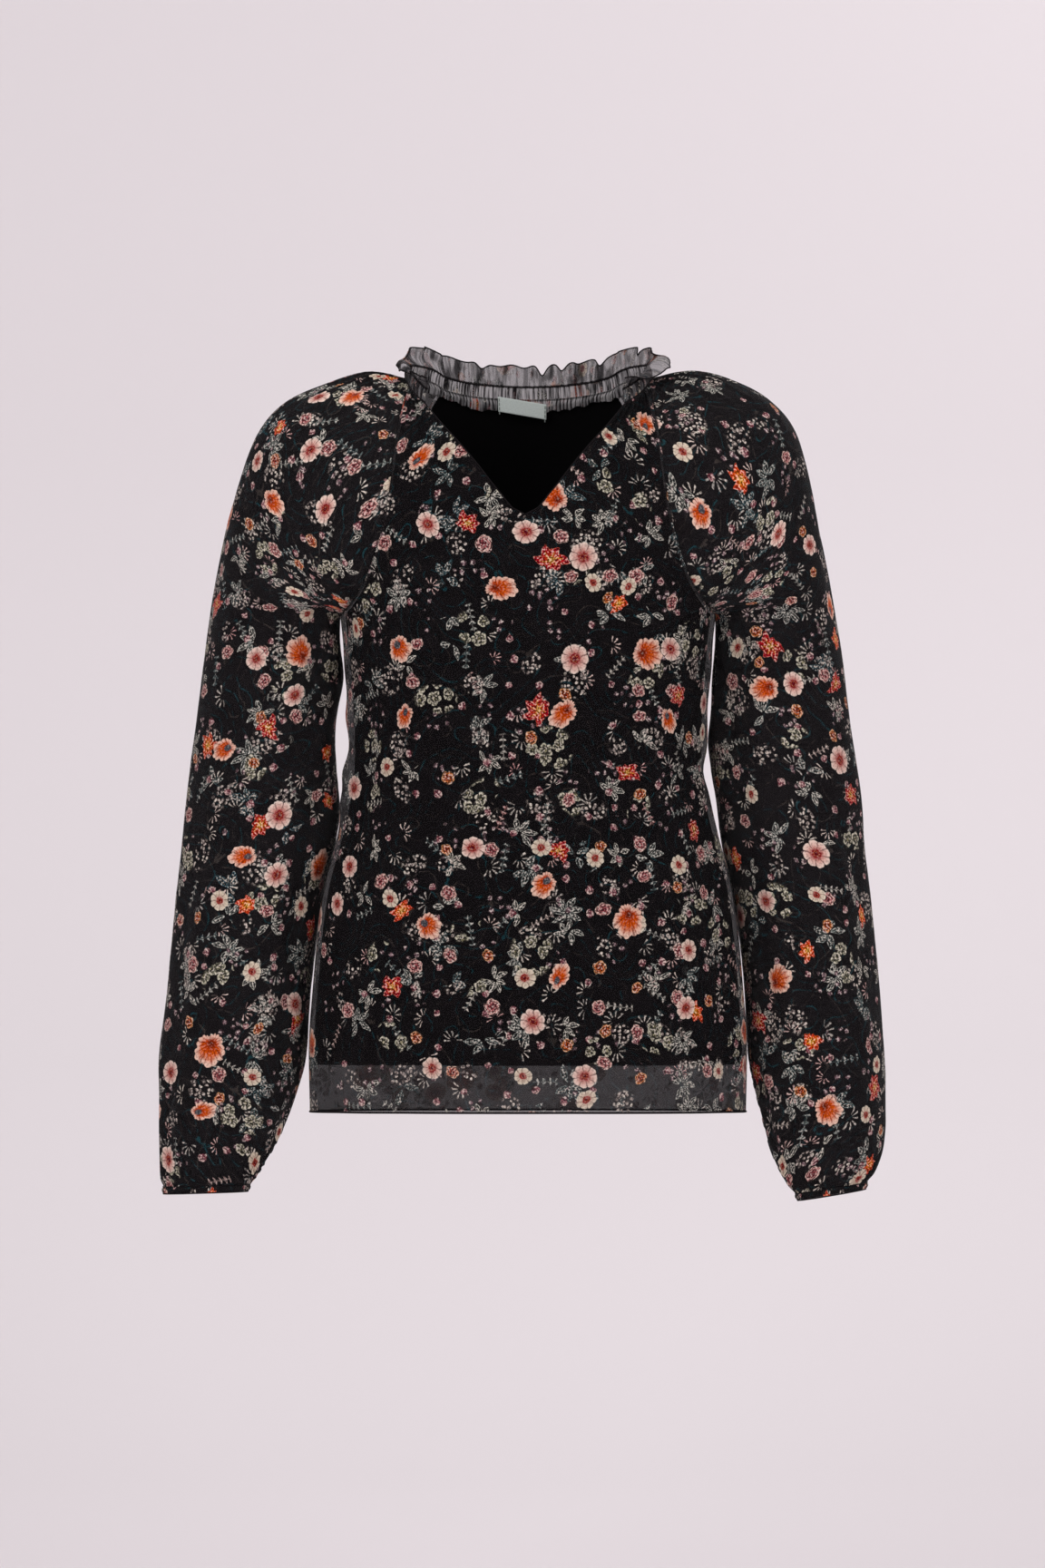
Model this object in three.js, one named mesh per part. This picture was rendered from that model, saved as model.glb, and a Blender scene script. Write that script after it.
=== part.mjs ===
// A long-sleeved chiffon blouse with a split neck, worn by nobody: hollow, open at neck, hem and cuffs.
// Two raglan body panels and two raglan sleeves are gathered into an elastic neck casing with a
// standing ruffle. A plain dark lining backs the body and stops short of the hem.
// Millimetres. X points to the wearer's left, Y to the back and Z up. The origin lies between the
// shoulders, at the height where they carry the neckline.

import * as THREE from "three";

// Cloth
const wall = 1.25; // thickness of every printed panel
const seamGap = 0.4; // between two pieces along a seam
const liningWall = 1.0;
const liningInset = 4.0; // from the panel's outer face to the lining's outer face
const liningDrop = 1.5; // from the neck seam down to the lining's edge

// Gathers: neighbouring columns of a panel stand out and in by this much, fading away from the seam.
const neckGather = 1.2;
const neckGatherFade = 55;
const cuffGather = 1.3;
const cuffGatherFade = 48;
const gatherStart = 9; // the edge in the seam itself is held flat

// Columns of each panel; two columns make one gather.
const frontHalfColumns = 12;
const backColumns = 28;
const sleeveColumns = 24;

// Body, ring by ring: half the width across X, the depth to the front and back of the side line,
// and the power of the rounded outline (2 is an ellipse).
const bodyRings = [
  { z: 12, halfWidth: 100, front: 36, back: 56, power: 2.0 },
  { z: -8, halfWidth: 113, front: 64, back: 67, power: 2.0 },
  { z: -24, halfWidth: 126, front: 81, back: 75, power: 2.0 },
  { z: -60, halfWidth: 150, front: 93, back: 88, power: 2.1 },
  { z: -100, halfWidth: 162, front: 99, back: 97, power: 2.2 },
  { z: -150, halfWidth: 165, front: 108, back: 103, power: 2.2 },
  { z: -207, halfWidth: 161, front: 116, back: 101, power: 2.25 },
  { z: -245, halfWidth: 157, front: 118, back: 97, power: 2.3 },
  { z: -311, halfWidth: 153, front: 112, back: 92, power: 2.3 },
  { z: -350, halfWidth: 154, front: 109, back: 93, power: 2.3 },
  { z: -396, halfWidth: 163, front: 109, back: 98, power: 2.3 },
  { z: -441, halfWidth: 175, front: 111, back: 104, power: 2.35 },
  { z: -533, halfWidth: 185, front: 114, back: 110, power: 2.4 },
  { z: -584, halfWidth: 188, front: 115, back: 112, power: 2.4 },
  { z: -634, halfWidth: 187, front: 114, back: 112, power: 2.4 },
];
const hemZ = -634;
const liningHemZ = -593;
const bodyRows = [-207, -228, -252, -280, -311, -345, -380, -415, -450, -490, -530, -565, -593, -614, hemZ];

// Raglan seams, from the neckline to the underarm, on the body's surface.
const raglan = [
  { frontX: 102, frontZ: -12, backX: 76, backZ: -13 },
  { frontX: 108, frontZ: -30, backX: 86, backZ: -30 },
  { frontX: 114, frontZ: -60, backX: 98, backZ: -60 },
  { frontX: 119, frontZ: -100, backX: 110, backZ: -100 },
  { frontX: 127, frontZ: -140, backX: 122, backZ: -140 },
  { frontX: 139, frontZ: -175, backX: 137, backZ: -175 },
  { frontX: 152, frontZ: -197, backX: 151, backZ: -197 },
  { frontX: 161, frontZ: -207, backX: 161, backZ: -207 },
];
const underarm = raglan.length - 1; // the station where both seams meet
const splitStation = 3.55; // the station beside the point of the neck split
const capRows = [0, 0.45, 1, 1.6, 2.3, 2.9, 3.36, splitStation, 4.3, 5, 5.6, 6.3, underarm];

// The split of the front neck: it opens from its point to the two ends of the casing.
const split = { point: { x: -2.5, z: -122 }, topZ: -26 };
const splitEdge = [
  { z: -26, halfWidth: 86 },
  { z: -42, halfWidth: 73 },
  { z: -59, halfWidth: 57.6 },
  { z: -72, halfWidth: 46.4 },
  { z: -83, halfWidth: 37.5 },
  { z: -96, halfWidth: 27.5 },
  { z: -108, halfWidth: 17.5 },
  { z: -116, halfWidth: 11.5 },
  { z: -122, halfWidth: 0 },
];

// The dip of the back neckline below the ends of its raglan seams.
const backNeckDip = 9;

// Sleeve head: how the cloth leaves the raglan seams (out, forward or backward, up) and how far it
// runs flat over the shoulder line (crown), station by station.
const sleeveHead = [
  { out: 6, forward: -10, backward: -8, up: 9, crown: 12 },
  { out: 20, forward: -7, backward: -6, up: 14, crown: 22 },
  { out: 36, forward: -2, backward: -2, up: 20, crown: 34 },
  { out: 48, forward: 0, backward: 2, up: 20, crown: 46 },
  { out: 52, forward: 2, backward: 8, up: 13, crown: 56 },
  { out: 42, forward: 8, backward: 20, up: 7, crown: 66 },
  { out: 22, forward: 30, backward: 44, up: 2, crown: 75 },
  { out: 0, forward: 82, backward: 82, up: 0, crown: 82 },
];

// The line over each shoulder, from the neckline to the underarm's height.
const shoulderLine = {
  right: [
    { x: 106, y: 8, z: -4 },
    { x: 135, y: 6, z: 1.5 },
    { x: 181, y: 5, z: -12.5 },
    { x: 211, y: 5, z: -27 },
    { x: 231, y: 6, z: -49 },
    { x: 245, y: 7, z: -82 },
    { x: 258, y: 8, z: -127 },
    { x: 272, y: 10, z: -205 },
  ],
  left: [
    { x: 107, y: 8, z: -4 },
    { x: 143, y: 6, z: 2.5 },
    { x: 187, y: 5, z: -10 },
    { x: 212, y: 5, z: -26 },
    { x: 229, y: 6, z: -48 },
    { x: 240, y: 7, z: -82 },
    { x: 249, y: 8, z: -127 },
    { x: 262, y: 10, z: -205 },
  ],
};

// Arms of the sleeves, ring by ring: inner and outer edge, the depth of the middle behind the side
// line, and half the depth.
const armRings = {
  right: [
    { innerX: 163, innerZ: -250, outerX: 278, outerZ: -250, middleY: 15, halfDepth: 61 },
    { innerX: 166, innerZ: -311, outerX: 286, outerZ: -311, middleY: 20, halfDepth: 62 },
    { innerX: 163, innerZ: -366, outerX: 293, outerZ: -366, middleY: 25, halfDepth: 64 },
    { innerX: 166, innerZ: -405, outerX: 297, outerZ: -405, middleY: 28, halfDepth: 65 },
    { innerX: 175, innerZ: -441, outerX: 301, outerZ: -441, middleY: 29, halfDepth: 66 },
    { innerX: 182.5, innerZ: -490, outerX: 306, outerZ: -490, middleY: 28, halfDepth: 67 },
    { innerX: 187, innerZ: -533, outerX: 310, outerZ: -533, middleY: 26, halfDepth: 67 },
    { innerX: 191, innerZ: -584, outerX: 316, outerZ: -584, middleY: 22, halfDepth: 65 },
    { innerX: 197, innerZ: -610, outerX: 317, outerZ: -612, middleY: 19, halfDepth: 62 },
    { innerX: 206, innerZ: -636, outerX: 317, outerZ: -640, middleY: 16, halfDepth: 58 },
    { innerX: 217, innerZ: -661, outerX: 316, outerZ: -668, middleY: 13, halfDepth: 52 },
    { innerX: 230, innerZ: -684, outerX: 315, outerZ: -688, middleY: 10, halfDepth: 44 },
    { innerX: 239, innerZ: -697, outerX: 314, outerZ: -699, middleY: 9, halfDepth: 38 },
  ],
  left: [
    { innerX: 161, innerZ: -250, outerX: 269, outerZ: -250, middleY: 15, halfDepth: 61 },
    { innerX: 158, innerZ: -311, outerX: 277, outerZ: -311, middleY: 20, halfDepth: 63 },
    { innerX: 162, innerZ: -366, outerX: 285, outerZ: -366, middleY: 25, halfDepth: 65 },
    { innerX: 167, innerZ: -405, outerX: 288, outerZ: -405, middleY: 28, halfDepth: 66 },
    { innerX: 175, innerZ: -441, outerX: 292, outerZ: -441, middleY: 29, halfDepth: 67 },
    { innerX: 182.5, innerZ: -490, outerX: 297, outerZ: -490, middleY: 28, halfDepth: 68 },
    { innerX: 187, innerZ: -533, outerX: 301, outerZ: -533, middleY: 26, halfDepth: 68 },
    { innerX: 190, innerZ: -584, outerX: 304, outerZ: -584, middleY: 22, halfDepth: 66 },
    { innerX: 195, innerZ: -612, outerX: 305, outerZ: -610, middleY: 19, halfDepth: 63 },
    { innerX: 202, innerZ: -640, outerX: 305, outerZ: -636, middleY: 16, halfDepth: 58 },
    { innerX: 210, innerZ: -668, outerX: 303, outerZ: -661, middleY: 13, halfDepth: 51 },
    { innerX: 221, innerZ: -692, outerX: 298, outerZ: -682, middleY: 10, halfDepth: 44 },
    { innerX: 230, innerZ: -705, outerX: 292, outerZ: -695, middleY: 9, halfDepth: 38 },
  ],
};
const armRowStep = 0.9; // stations between two rows of an arm

// Soft folds of the body: where they run (0 at the middle, 1 at the wearer's left side, -1 at the
// right), how deep and how wide they are, and the heights between which they show.
const frontFolds = [
  { at: -0.72, depth: 4.0, width: 0.09, top: -250, bottom: -700 },
  { at: -0.44, depth: 3.0, width: 0.08, top: -330, bottom: -700 },
  { at: -0.2, depth: 2.4, width: 0.07, top: -150, bottom: -420 },
  { at: 0.14, depth: 2.6, width: 0.08, top: -380, bottom: -700 },
  { at: 0.43, depth: 3.2, width: 0.08, top: -240, bottom: -560 },
  { at: 0.74, depth: 4.2, width: 0.09, top: -270, bottom: -700 },
];
const backFolds = [
  { at: -0.78, depth: 4.4, width: 0.08, top: -220, bottom: -700 },
  { at: -0.5, depth: 3.4, width: 0.08, top: -120, bottom: -700 },
  { at: -0.16, depth: 3.0, width: 0.07, top: -260, bottom: -700 },
  { at: 0.12, depth: 3.6, width: 0.08, top: -90, bottom: -520 },
  { at: 0.47, depth: 3.2, width: 0.08, top: -200, bottom: -700 },
  { at: 0.77, depth: 4.4, width: 0.08, top: -230, bottom: -700 },
];
// Soft folds of a sleeve: the share of the way round from the front seam over the outside to the back,
// depth, width, and the stations between which they show.
const sleeveFolds = [
  { at: 0.12, depth: 4.5, width: 0.045, from: 4.5, to: 16.0 },
  { at: 0.27, depth: 5.0, width: 0.05, from: 6.0, to: 19.5 },
  { at: 0.42, depth: 3.5, width: 0.045, from: 8.5, to: 19.5 },
  { at: 0.62, depth: 4.5, width: 0.05, from: 5.0, to: 18.5 },
  { at: 0.8, depth: 4.5, width: 0.05, from: 6.0, to: 19.5 },
];

// Neck trim. The ruffle is listed from its right front end (-1) over the back (0) to its left (1).
const casing = { height: 12, lean: 0.22, gathers: 48, gather: 0.9 };
const ruffle = { waves: 19, columnsPerWave: 4, throw: 4.2, sag: 2.4 };
const ruffleEdge = [
  { at: -1, height: 12, flare: 3 },
  { at: -0.78, height: 16, flare: 4 },
  { at: -0.5, height: 20, flare: 8 },
  { at: -0.22, height: 20, flare: 4 },
  { at: 0, height: 19, flare: 3 },
  { at: 0.22, height: 20, flare: 4 },
  { at: 0.44, height: 19, flare: 7 },
  { at: 0.56, height: 16, flare: 15 },
  { at: 0.68, height: 12, flare: 20 },
  { at: 0.82, height: 11, flare: 13 },
  { at: 1, height: 11, flare: 5 },
];
const ruffleNotches = [
  { at: -0.2, depth: 5.5, width: 0.022 },
  { at: 0.045, depth: 7, width: 0.02 },
  { at: 0.13, depth: 4, width: 0.018 },
  { at: 0.3, depth: 5, width: 0.022 },
  { at: 0.53, depth: 4.5, width: 0.02 },
];
const frill = { drop: 9, inset: 6.6, rise: 1, waves: 24, throw: 0.9, span: 0.5 };
const label = { width: 42, height: 13, thickness: 1, middleX: -7, topZ: -22, tilt: 0.16, inset: 6.85, lean: 2.6 };

// Elastic edge of a cuff
const cuff = { height: 6, clearance: 0.35 };

// A smooth value of one column of a table, between rows placed by the column named by.
function columnAt(rows, by, key, at) {
  const rising = rows[rows.length - 1][by] > rows[0][by];
  let i = 0;
  while (i < rows.length - 2 && (rising ? rows[i + 1][by] < at : rows[i + 1][by] > at)) i += 1;
  const slope = (a, b) => (rows[b][key] - rows[a][key]) / (rows[b][by] - rows[a][by]);
  const here = slope(i, i + 1);
  const tangent = (a, b) => {
    if (a < 0 || b > rows.length - 1) return here;
    const other = a < i ? slope(a, i) : slope(i + 1, b);
    return other * here <= 0 ? 0 : (other + here) / 2;
  };
  const span = rows[i + 1][by] - rows[i][by];
  const t = THREE.MathUtils.clamp((at - rows[i][by]) / span, 0, 1);
  const [t2, t3] = [t * t, t * t * t];
  return (
    rows[i][key] * (2 * t3 - 3 * t2 + 1) +
    tangent(i - 1, i + 1) * span * (t3 - 2 * t2 + t) +
    rows[i + 1][key] * (3 * t2 - 2 * t3) +
    tangent(i, i + 2) * span * (t3 - t2)
  );
}

function byStation(rows, key, s) {
  const numbered = rows.map((row, station) => ({ station, ...row }));
  return columnAt(numbered, "station", key, s);
}

// The body's outer surface: the point at a height and at an angle from the middle (0) to a side.
function bodyRing(z) {
  const at = THREE.MathUtils.clamp(z, hemZ, bodyRings[0].z);
  const read = (key) => columnAt(bodyRings, "z", key, at);
  return { halfWidth: read("halfWidth"), front: read("front"), back: read("back"), power: read("power") };
}

function bodyAngle(x, z) {
  const ring = bodyRing(z);
  const share = Math.min(1, Math.abs(x) / ring.halfWidth);
  return Math.sign(x) * Math.asin(share ** (ring.power / 2));
}

function bodyPoint(angle, z, facing) {
  const ring = bodyRing(z);
  const depth = facing < 0 ? ring.front : ring.back;
  return new THREE.Vector3(
    Math.sign(angle) * ring.halfWidth * Math.abs(Math.sin(angle)) ** (2 / ring.power),
    facing * depth * Math.max(0, Math.cos(angle)) ** (2 / ring.power),
    z,
  );
}

// The direction out of the body's surface at a point, from the slope of its outline.
function bodyNormal(p, facing) {
  const level = (x, y, z) => {
    const ring = bodyRing(z);
    const depth = facing < 0 ? ring.front : ring.back;
    return Math.abs(x / ring.halfWidth) ** ring.power + Math.abs(y / depth) ** ring.power;
  };
  const step = 0.5;
  const slope = (dx, dy, dz) =>
    level(p.x + dx, p.y + dy, p.z + dz) - level(p.x - dx, p.y - dy, p.z - dz);
  return new THREE.Vector3(slope(step, 0, 0), slope(0, step, 0), slope(0, 0, step)).normalize();
}

// How far a soft fold pushes the cloth in at a place across and a place along.
function foldDepth(folds, across, along, startKey, endKey, ramp) {
  return folds.reduce((sum, fold) => {
    const [start, end] = [fold[startKey], fold[endKey]].sort((a, b) => a - b);
    const fade =
      THREE.MathUtils.smoothstep(along, start, start + ramp) *
      (1 - THREE.MathUtils.smoothstep(along, end - ramp, end));
    const off = (across - fold.at) / fold.width;
    return sum + fold.depth * fade * Math.exp(-off * off);
  }, 0);
}

// A raglan seam, in front (facing -1) or at the back (1), at a station.
function seamPoint(side, facing, s) {
  const z = byStation(raglan, facing < 0 ? "frontZ" : "backZ", s);
  const x = byStation(raglan, facing < 0 ? "frontX" : "backX", s);
  return bodyPoint(side * Math.abs(bodyAngle(x, z)), z, facing);
}

// Distance down the raglan seam from the neckline, for fading the gathers.
function neckDistance(s) {
  return byStation(raglan, "frontZ", 0) - byStation(raglan, "frontZ", s);
}

// The split's point lies a little to one side; the centre line returns to the middle lower down.
function centreX(z) {
  return split.point.x * (1 - THREE.MathUtils.smoothstep(-z, -split.point.z, 330));
}

// Half of the front, from the side of the body to its middle or to the edge of the split. Each spot
// of a grid holds a point of the outer face, the direction out of the cloth there, its share of the
// row (0 at the wearer's right), its place across the body and its distance down from the neck.
function frontHalf(side, columns) {
  const top = byStation(raglan, "frontZ", 0);
  const cap = capRows.map((s) => {
    const seamZ = byStation(raglan, "frontZ", s);
    const share = s < splitStation ? (seamZ - top) / (split.point.z - top) : 1;
    const innerZ = s <= splitStation ? THREE.MathUtils.lerp(split.topZ, split.point.z, share) : seamZ;
    const open = s < splitStation ? columnAt(splitEdge, "z", "halfWidth", innerZ) : 0;
    const inner = { z: innerZ, angle: bodyAngle(centreX(innerZ) + side * open, innerZ) };
    const outer = { z: seamZ, angle: side * Math.abs(bodyAngle(byStation(raglan, "frontX", s), seamZ)) };
    return { s, inner, outer, fromNeck: neckDistance(s) };
  });
  const rest = bodyRows.slice(1).map((z) => ({
    inner: { z, angle: bodyAngle(centreX(z), z) },
    outer: { z, angle: (side * Math.PI) / 2 },
    fromNeck: 220 - z,
  }));
  return [...cap, ...rest].map(({ s, inner, outer, fromNeck }) => {
    const line = [];
    for (let i = 0; i <= columns; i += 1) {
      const u = side < 0 ? i / columns : 1 - i / columns;
      const z = THREE.MathUtils.lerp(outer.z, inner.z, u);
      const angle = THREE.MathUtils.lerp(outer.angle, inner.angle, u);
      const point = bodyPoint(angle, z, -1);
      const own = bodyNormal(point, -1);
      const out = u === 0 && s !== undefined ? seamOut(side, -1, s, own) : own;
      line.push({ point, out, across: angle / (Math.PI / 2), fromNeck, atMiddle: u === 1 });
    }
    return line;
  });
}

function backGrid(columns) {
  const cap = capRows.map((s) => {
    const z = byStation(raglan, "backZ", s);
    const angle = Math.abs(bodyAngle(byStation(raglan, "backX", s), z));
    const dip = backNeckDip * (1 - THREE.MathUtils.smoothstep(s, 0, 4));
    return { s, z, angle, dip, fromNeck: neckDistance(s) };
  });
  const rest = bodyRows.slice(1).map((z) => ({ z, angle: Math.PI / 2, dip: 0, fromNeck: 220 - z }));
  return [...cap, ...rest].map((row) => {
    const line = [];
    for (let i = 0; i <= columns; i += 1) {
      const u = (2 * i) / columns - 1;
      const angle = row.angle * u;
      const z = row.z - row.dip * (1 - u * u);
      const point = bodyPoint(angle, z, 1);
      const own = bodyNormal(point, 1);
      const out = Math.abs(u) === 1 && row.s !== undefined ? seamOut(u, 1, row.s, own) : own;
      line.push({ point, out, across: angle / (Math.PI / 2), fromNeck: row.fromNeck });
    }
    return line;
  });
}

// Sleeve: every row runs from the front seam over the outer line to the back seam, as two curves.
const sleeveTables = Object.fromEntries(
  Object.keys(armRings).map((name) => {
    const head = raglan.map((_, i) => ({ ...shoulderLine[name][i], ...sleeveHead[i] }));
    const arm = armRings[name].map((ring) => {
      const reach = (4 / 3) * ring.halfDepth;
      const outer = { x: ring.outerX, y: ring.middleY, z: ring.outerZ };
      return { ...outer, out: 0, forward: reach, backward: reach, up: 0, crown: reach };
    });
    const last = seamPoint(1, -1, underarm);
    const inner = [
      { innerX: last.x + seamGap, innerY: 0, innerZ: last.z },
      ...armRings[name].map((ring) => ({ innerX: ring.innerX, innerY: ring.middleY, innerZ: ring.innerZ })),
    ];
    return [name, { outer: [...head, ...arm], inner }];
  }),
);

function sleeveRow(side, s) {
  const { outer, inner } = sleeveTables[side > 0 ? "left" : "right"];
  const read = (key) => byStation(outer, key, s);
  const readInner = (key) => byStation(inner, key, s - underarm);
  const end = (facing) =>
    s < underarm
      ? seamPoint(side, facing, s)
      : new THREE.Vector3(side * readInner("innerX"), readInner("innerY"), readInner("innerZ"));
  const middle = new THREE.Vector3(side * read("x"), read("y"), read("z"));
  const half = (facing) => {
    const away = facing * read(facing < 0 ? "forward" : "backward");
    return [
      end(facing),
      end(facing).add(new THREE.Vector3(side * read("out"), away, read("up"))),
      middle.clone().add(new THREE.Vector3(0, facing * read("crown"), 0)),
      middle,
    ];
  };
  return {
    front: new THREE.CubicBezierCurve3(...half(-1)),
    back: new THREE.CubicBezierCurve3(...half(1).reverse()),
  };
}

const armStations = underarm + armRings.left.length;

function sleevePoint(row, u) {
  return u <= 0.5 ? row.front.getPoint(u * 2) : row.back.getPoint(u * 2 - 1);
}

// The direction out of the sleeve at a station and at a share of the way round.
function sleeveOut(side, s, u) {
  const near = 0.05;
  const closed = s >= underarm;
  const row = sleeveRow(side, s);
  const above = sleeveRow(side, Math.max(closed ? underarm : 0, s - near));
  const below = sleeveRow(side, Math.min(armStations, s + near));
  const wrap = (v) => (closed ? (v + 1) % 1 : THREE.MathUtils.clamp(v, 0, 1));
  const around = sleevePoint(row, wrap(u + 0.01)).sub(sleevePoint(row, wrap(u - 0.01)));
  const along = sleevePoint(below, u).sub(sleevePoint(above, u));
  return new THREE.Vector3().crossVectors(along, around).multiplyScalar(side).normalize();
}

// At a raglan seam both pieces share one direction out, unless the cloth is folded sharply there.
function seamOut(side, facing, s, own) {
  const body = bodyNormal(seamPoint(side, facing, s), facing);
  const sleeve = sleeveOut(side, s, facing < 0 ? 0 : 1);
  return body.dot(sleeve) > 0.3 ? body.add(sleeve).normalize() : own;
}

function sleeveGrid(side, columns, stations) {
  return stations.map((s) => {
    const row = sleeveRow(side, s);
    const line = [];
    for (let i = 0; i <= columns; i += 1) {
      const u = i / columns;
      const own = sleeveOut(side, s, u);
      const atSeam = s < underarm && (u === 0 || u === 1);
      const out = atSeam ? seamOut(side, u === 0 ? -1 : 1, s, own) : own;
      line.push({ point: sleevePoint(row, u), out, u, s });
    }
    if (s >= underarm) line[columns] = { ...line[0] };
    return line;
  });
}

// Moves the cloth of a grid out or in by the amount that push gives, and keeps the base direction.
function pushed(grid, push) {
  return grid.map((line, j) =>
    line.map((spot, i) => ({
      ...spot,
      point: spot.point.clone().addScaledVector(spot.out, push(spot, i, j)),
    })),
  );
}

// Draws the ends of each row back from the seams they meet.
function drawnIn(grid, { first = true, last = true, rows = grid.length } = {}) {
  return grid.map((line, j) => {
    if (j >= rows) return line;
    const ends = line.map((spot) => ({ ...spot, point: spot.point.clone() }));
    const move = (a, b) => {
      const away = line[b].point.clone().sub(line[a].point).setLength(seamGap / 2);
      ends[a].point.add(away);
    };
    if (first) move(0, 1);
    if (last) move(line.length - 1, line.length - 2);
    return ends;
  });
}

// A closed wall from one or more grids that share vertices: the outer face, the inner face a
// thickness inside it, and a strip round every open edge.
function wallOf(grids, thickness) {
  const spots = new Map();
  const order = [];
  const faces = [];
  const key = (p) => [p.x, p.y, p.z].map((v) => Math.round(v * 500)).join();
  const index = (spot) => {
    const name = key(spot.point);
    if (!spots.has(name)) {
      spots.set(name, order.length);
      order.push({ point: spot.point, out: new THREE.Vector3() });
    }
    const found = spots.get(name);
    order[found].out.add(spot.out);
    return found;
  };
  grids.forEach((grid) =>
    grid.slice(1).forEach((line, j) => {
      const upper = grid[j].map(index);
      const lower = line.map(index);
      for (let i = 0; i + 1 < line.length; i += 1) {
        const quad = [upper[i], lower[i], lower[i + 1], upper[i + 1]];
        faces.push([quad[0], quad[1], quad[2]], [quad[0], quad[2], quad[3]]);
      }
    }),
  );
  const proper = faces.filter(([a, b, c]) => a !== b && b !== c && a !== c);
  const edges = new Map();
  proper.forEach((face) =>
    face.forEach((a, k) => {
      const b = face[(k + 1) % 3];
      edges.set(a + "," + b, [a, b]);
    }),
  );
  const open = [...edges.values()].filter(([a, b]) => !edges.has(b + "," + a));
  const count = order.length;
  const positions = [
    ...order.flatMap(({ point }) => point.toArray()),
    ...order.flatMap(({ point, out }) =>
      point.clone().addScaledVector(out.normalize(), -thickness).toArray(),
    ),
  ];
  const inner = proper.map(([a, b, c]) => [a + count, c + count, b + count]);
  const rim = open.flatMap(([a, b]) => [
    [b, a, a + count],
    [b, a + count, b + count],
  ]);
  const indices = [...proper, ...inner, ...rim].flat();
  return facingOut(positions, indices);
}

// A geometry from points and triangles, turned round if its faces point inwards.
function facingOut(positions, indices) {
  const at = (i) => new THREE.Vector3().fromArray(positions, i * 3);
  let volume = 0;
  for (let i = 0; i < indices.length; i += 3) {
    volume += at(indices[i]).dot(at(indices[i + 1]).cross(at(indices[i + 2])));
  }
  const turned = volume < 0 ? indices.slice().reverse() : indices;
  const geometry = new THREE.BufferGeometry();
  geometry.setAttribute("position", new THREE.Float32BufferAttribute(positions, 3));
  geometry.setIndex(turned);
  geometry.computeVertexNormals();
  return geometry;
}

const inAndOut = (i) => (i % 2 === 0 ? 1 : -1);
// How strongly gathers show at a distance from the seam that draws them up.
const gathered = (distance, length) =>
  THREE.MathUtils.smoothstep(distance, 0, gatherStart) * Math.exp(-((distance / length) ** 1.5));

const bodyFold = (folds, spot) => foldDepth(folds, spot.across, spot.point.z, "bottom", "top", 60);
const bodyGather = (spot, i) => inAndOut(i) * neckGather * gathered(spot.fromNeck, neckGatherFade);

function frontPanel() {
  return [-1, 1].map((side) => {
    const grid = pushed(frontHalf(side, frontHalfColumns), (spot, i) =>
      (spot.atMiddle ? 0 : bodyGather(spot, i)) - bodyFold(frontFolds, spot),
    );
    return drawnIn(grid, { first: side < 0, last: side > 0 });
  });
}

function backPanel() {
  const grid = pushed(backGrid(backColumns), (spot, i) => bodyGather(spot, i) - bodyFold(backFolds, spot));
  return [drawnIn(grid)];
}

// The lining follows every other row of its panel, a little way inside it, down to its own hem.
function liningOf(grid, folds, ends) {
  const hemRow = capRows.length - 1 + bodyRows.indexOf(liningHemZ);
  const splitRow = capRows.indexOf(splitStation);
  const rows = grid.slice(0, hemRow + 1).filter((_, j) => j % 2 === 1 || [0, splitRow, hemRow].includes(j));
  const inside = drawnIn(pushed(rows, (spot) => -liningInset - bodyFold(folds, spot)), ends);
  inside[0].forEach((spot) => spot.point.setZ(spot.point.z - liningDrop));
  return inside;
}

function frontLining() {
  return [-1, 1].map((side) =>
    liningOf(frontHalf(side, frontHalfColumns), frontFolds, { first: side < 0, last: side > 0 }),
  );
}

function sleevePanel(side) {
  const arm = [];
  for (let s = underarm + armRowStep; s < armStations - 0.4; s += armRowStep) arm.push(s);
  const stations = [...capRows, ...arm, armStations];
  const grid = pushed(sleeveGrid(side, sleeveColumns, stations), (spot, i) => {
    const toCuff = columnAt(armLengths, "station", "length", spot.s);
    const gather =
      neckGather * gathered(neckDistance(Math.min(spot.s, underarm)), neckGatherFade) +
      cuffGather * gathered(toCuff, cuffGatherFade);
    const seam = spot.s < underarm && (spot.u === 0 || spot.u === 1);
    return inAndOut(i) * gather - (seam ? 0 : foldDepth(sleeveFolds, spot.u, spot.s, "from", "to", 2));
  });
  return [drawnIn(grid, { rows: capRows.length - 1 })];
}
// Distance from each station down to the cuff.
const armLengths = [
  { station: 0, length: 700 },
  { station: underarm, length: 490 },
  ...armRings.left.map((ring, i) => ({
    station: underarm + 1 + i,
    length: 700 + (ring.innerZ + ring.outerZ) / 2,
  })),
];

// The seam that the casing is sewn along, from the right end of the split round the back to the left.
function neckSeam() {
  const topOf = (line) => line.map((spot) => spot.point);
  const rightFront = topOf(frontHalf(-1, 4)[0]);
  const leftFront = topOf(frontHalf(1, 4)[0]);
  const rightSleeve = topOf(sleeveGrid(-1, 8, [0])[0]);
  const leftSleeve = topOf(sleeveGrid(1, 8, [0])[0]);
  const back = topOf(backGrid(10)[0]);
  const points = [
    ...rightFront.reverse(),
    ...rightSleeve.slice(1),
    ...back.slice(1),
    ...leftSleeve.reverse().slice(1),
    ...leftFront.reverse().slice(1),
  ];
  return new THREE.CatmullRomCurve3(points, false, "centripetal");
}
const neck = neckSeam();
const neckLength = neck.getLength();

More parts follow.
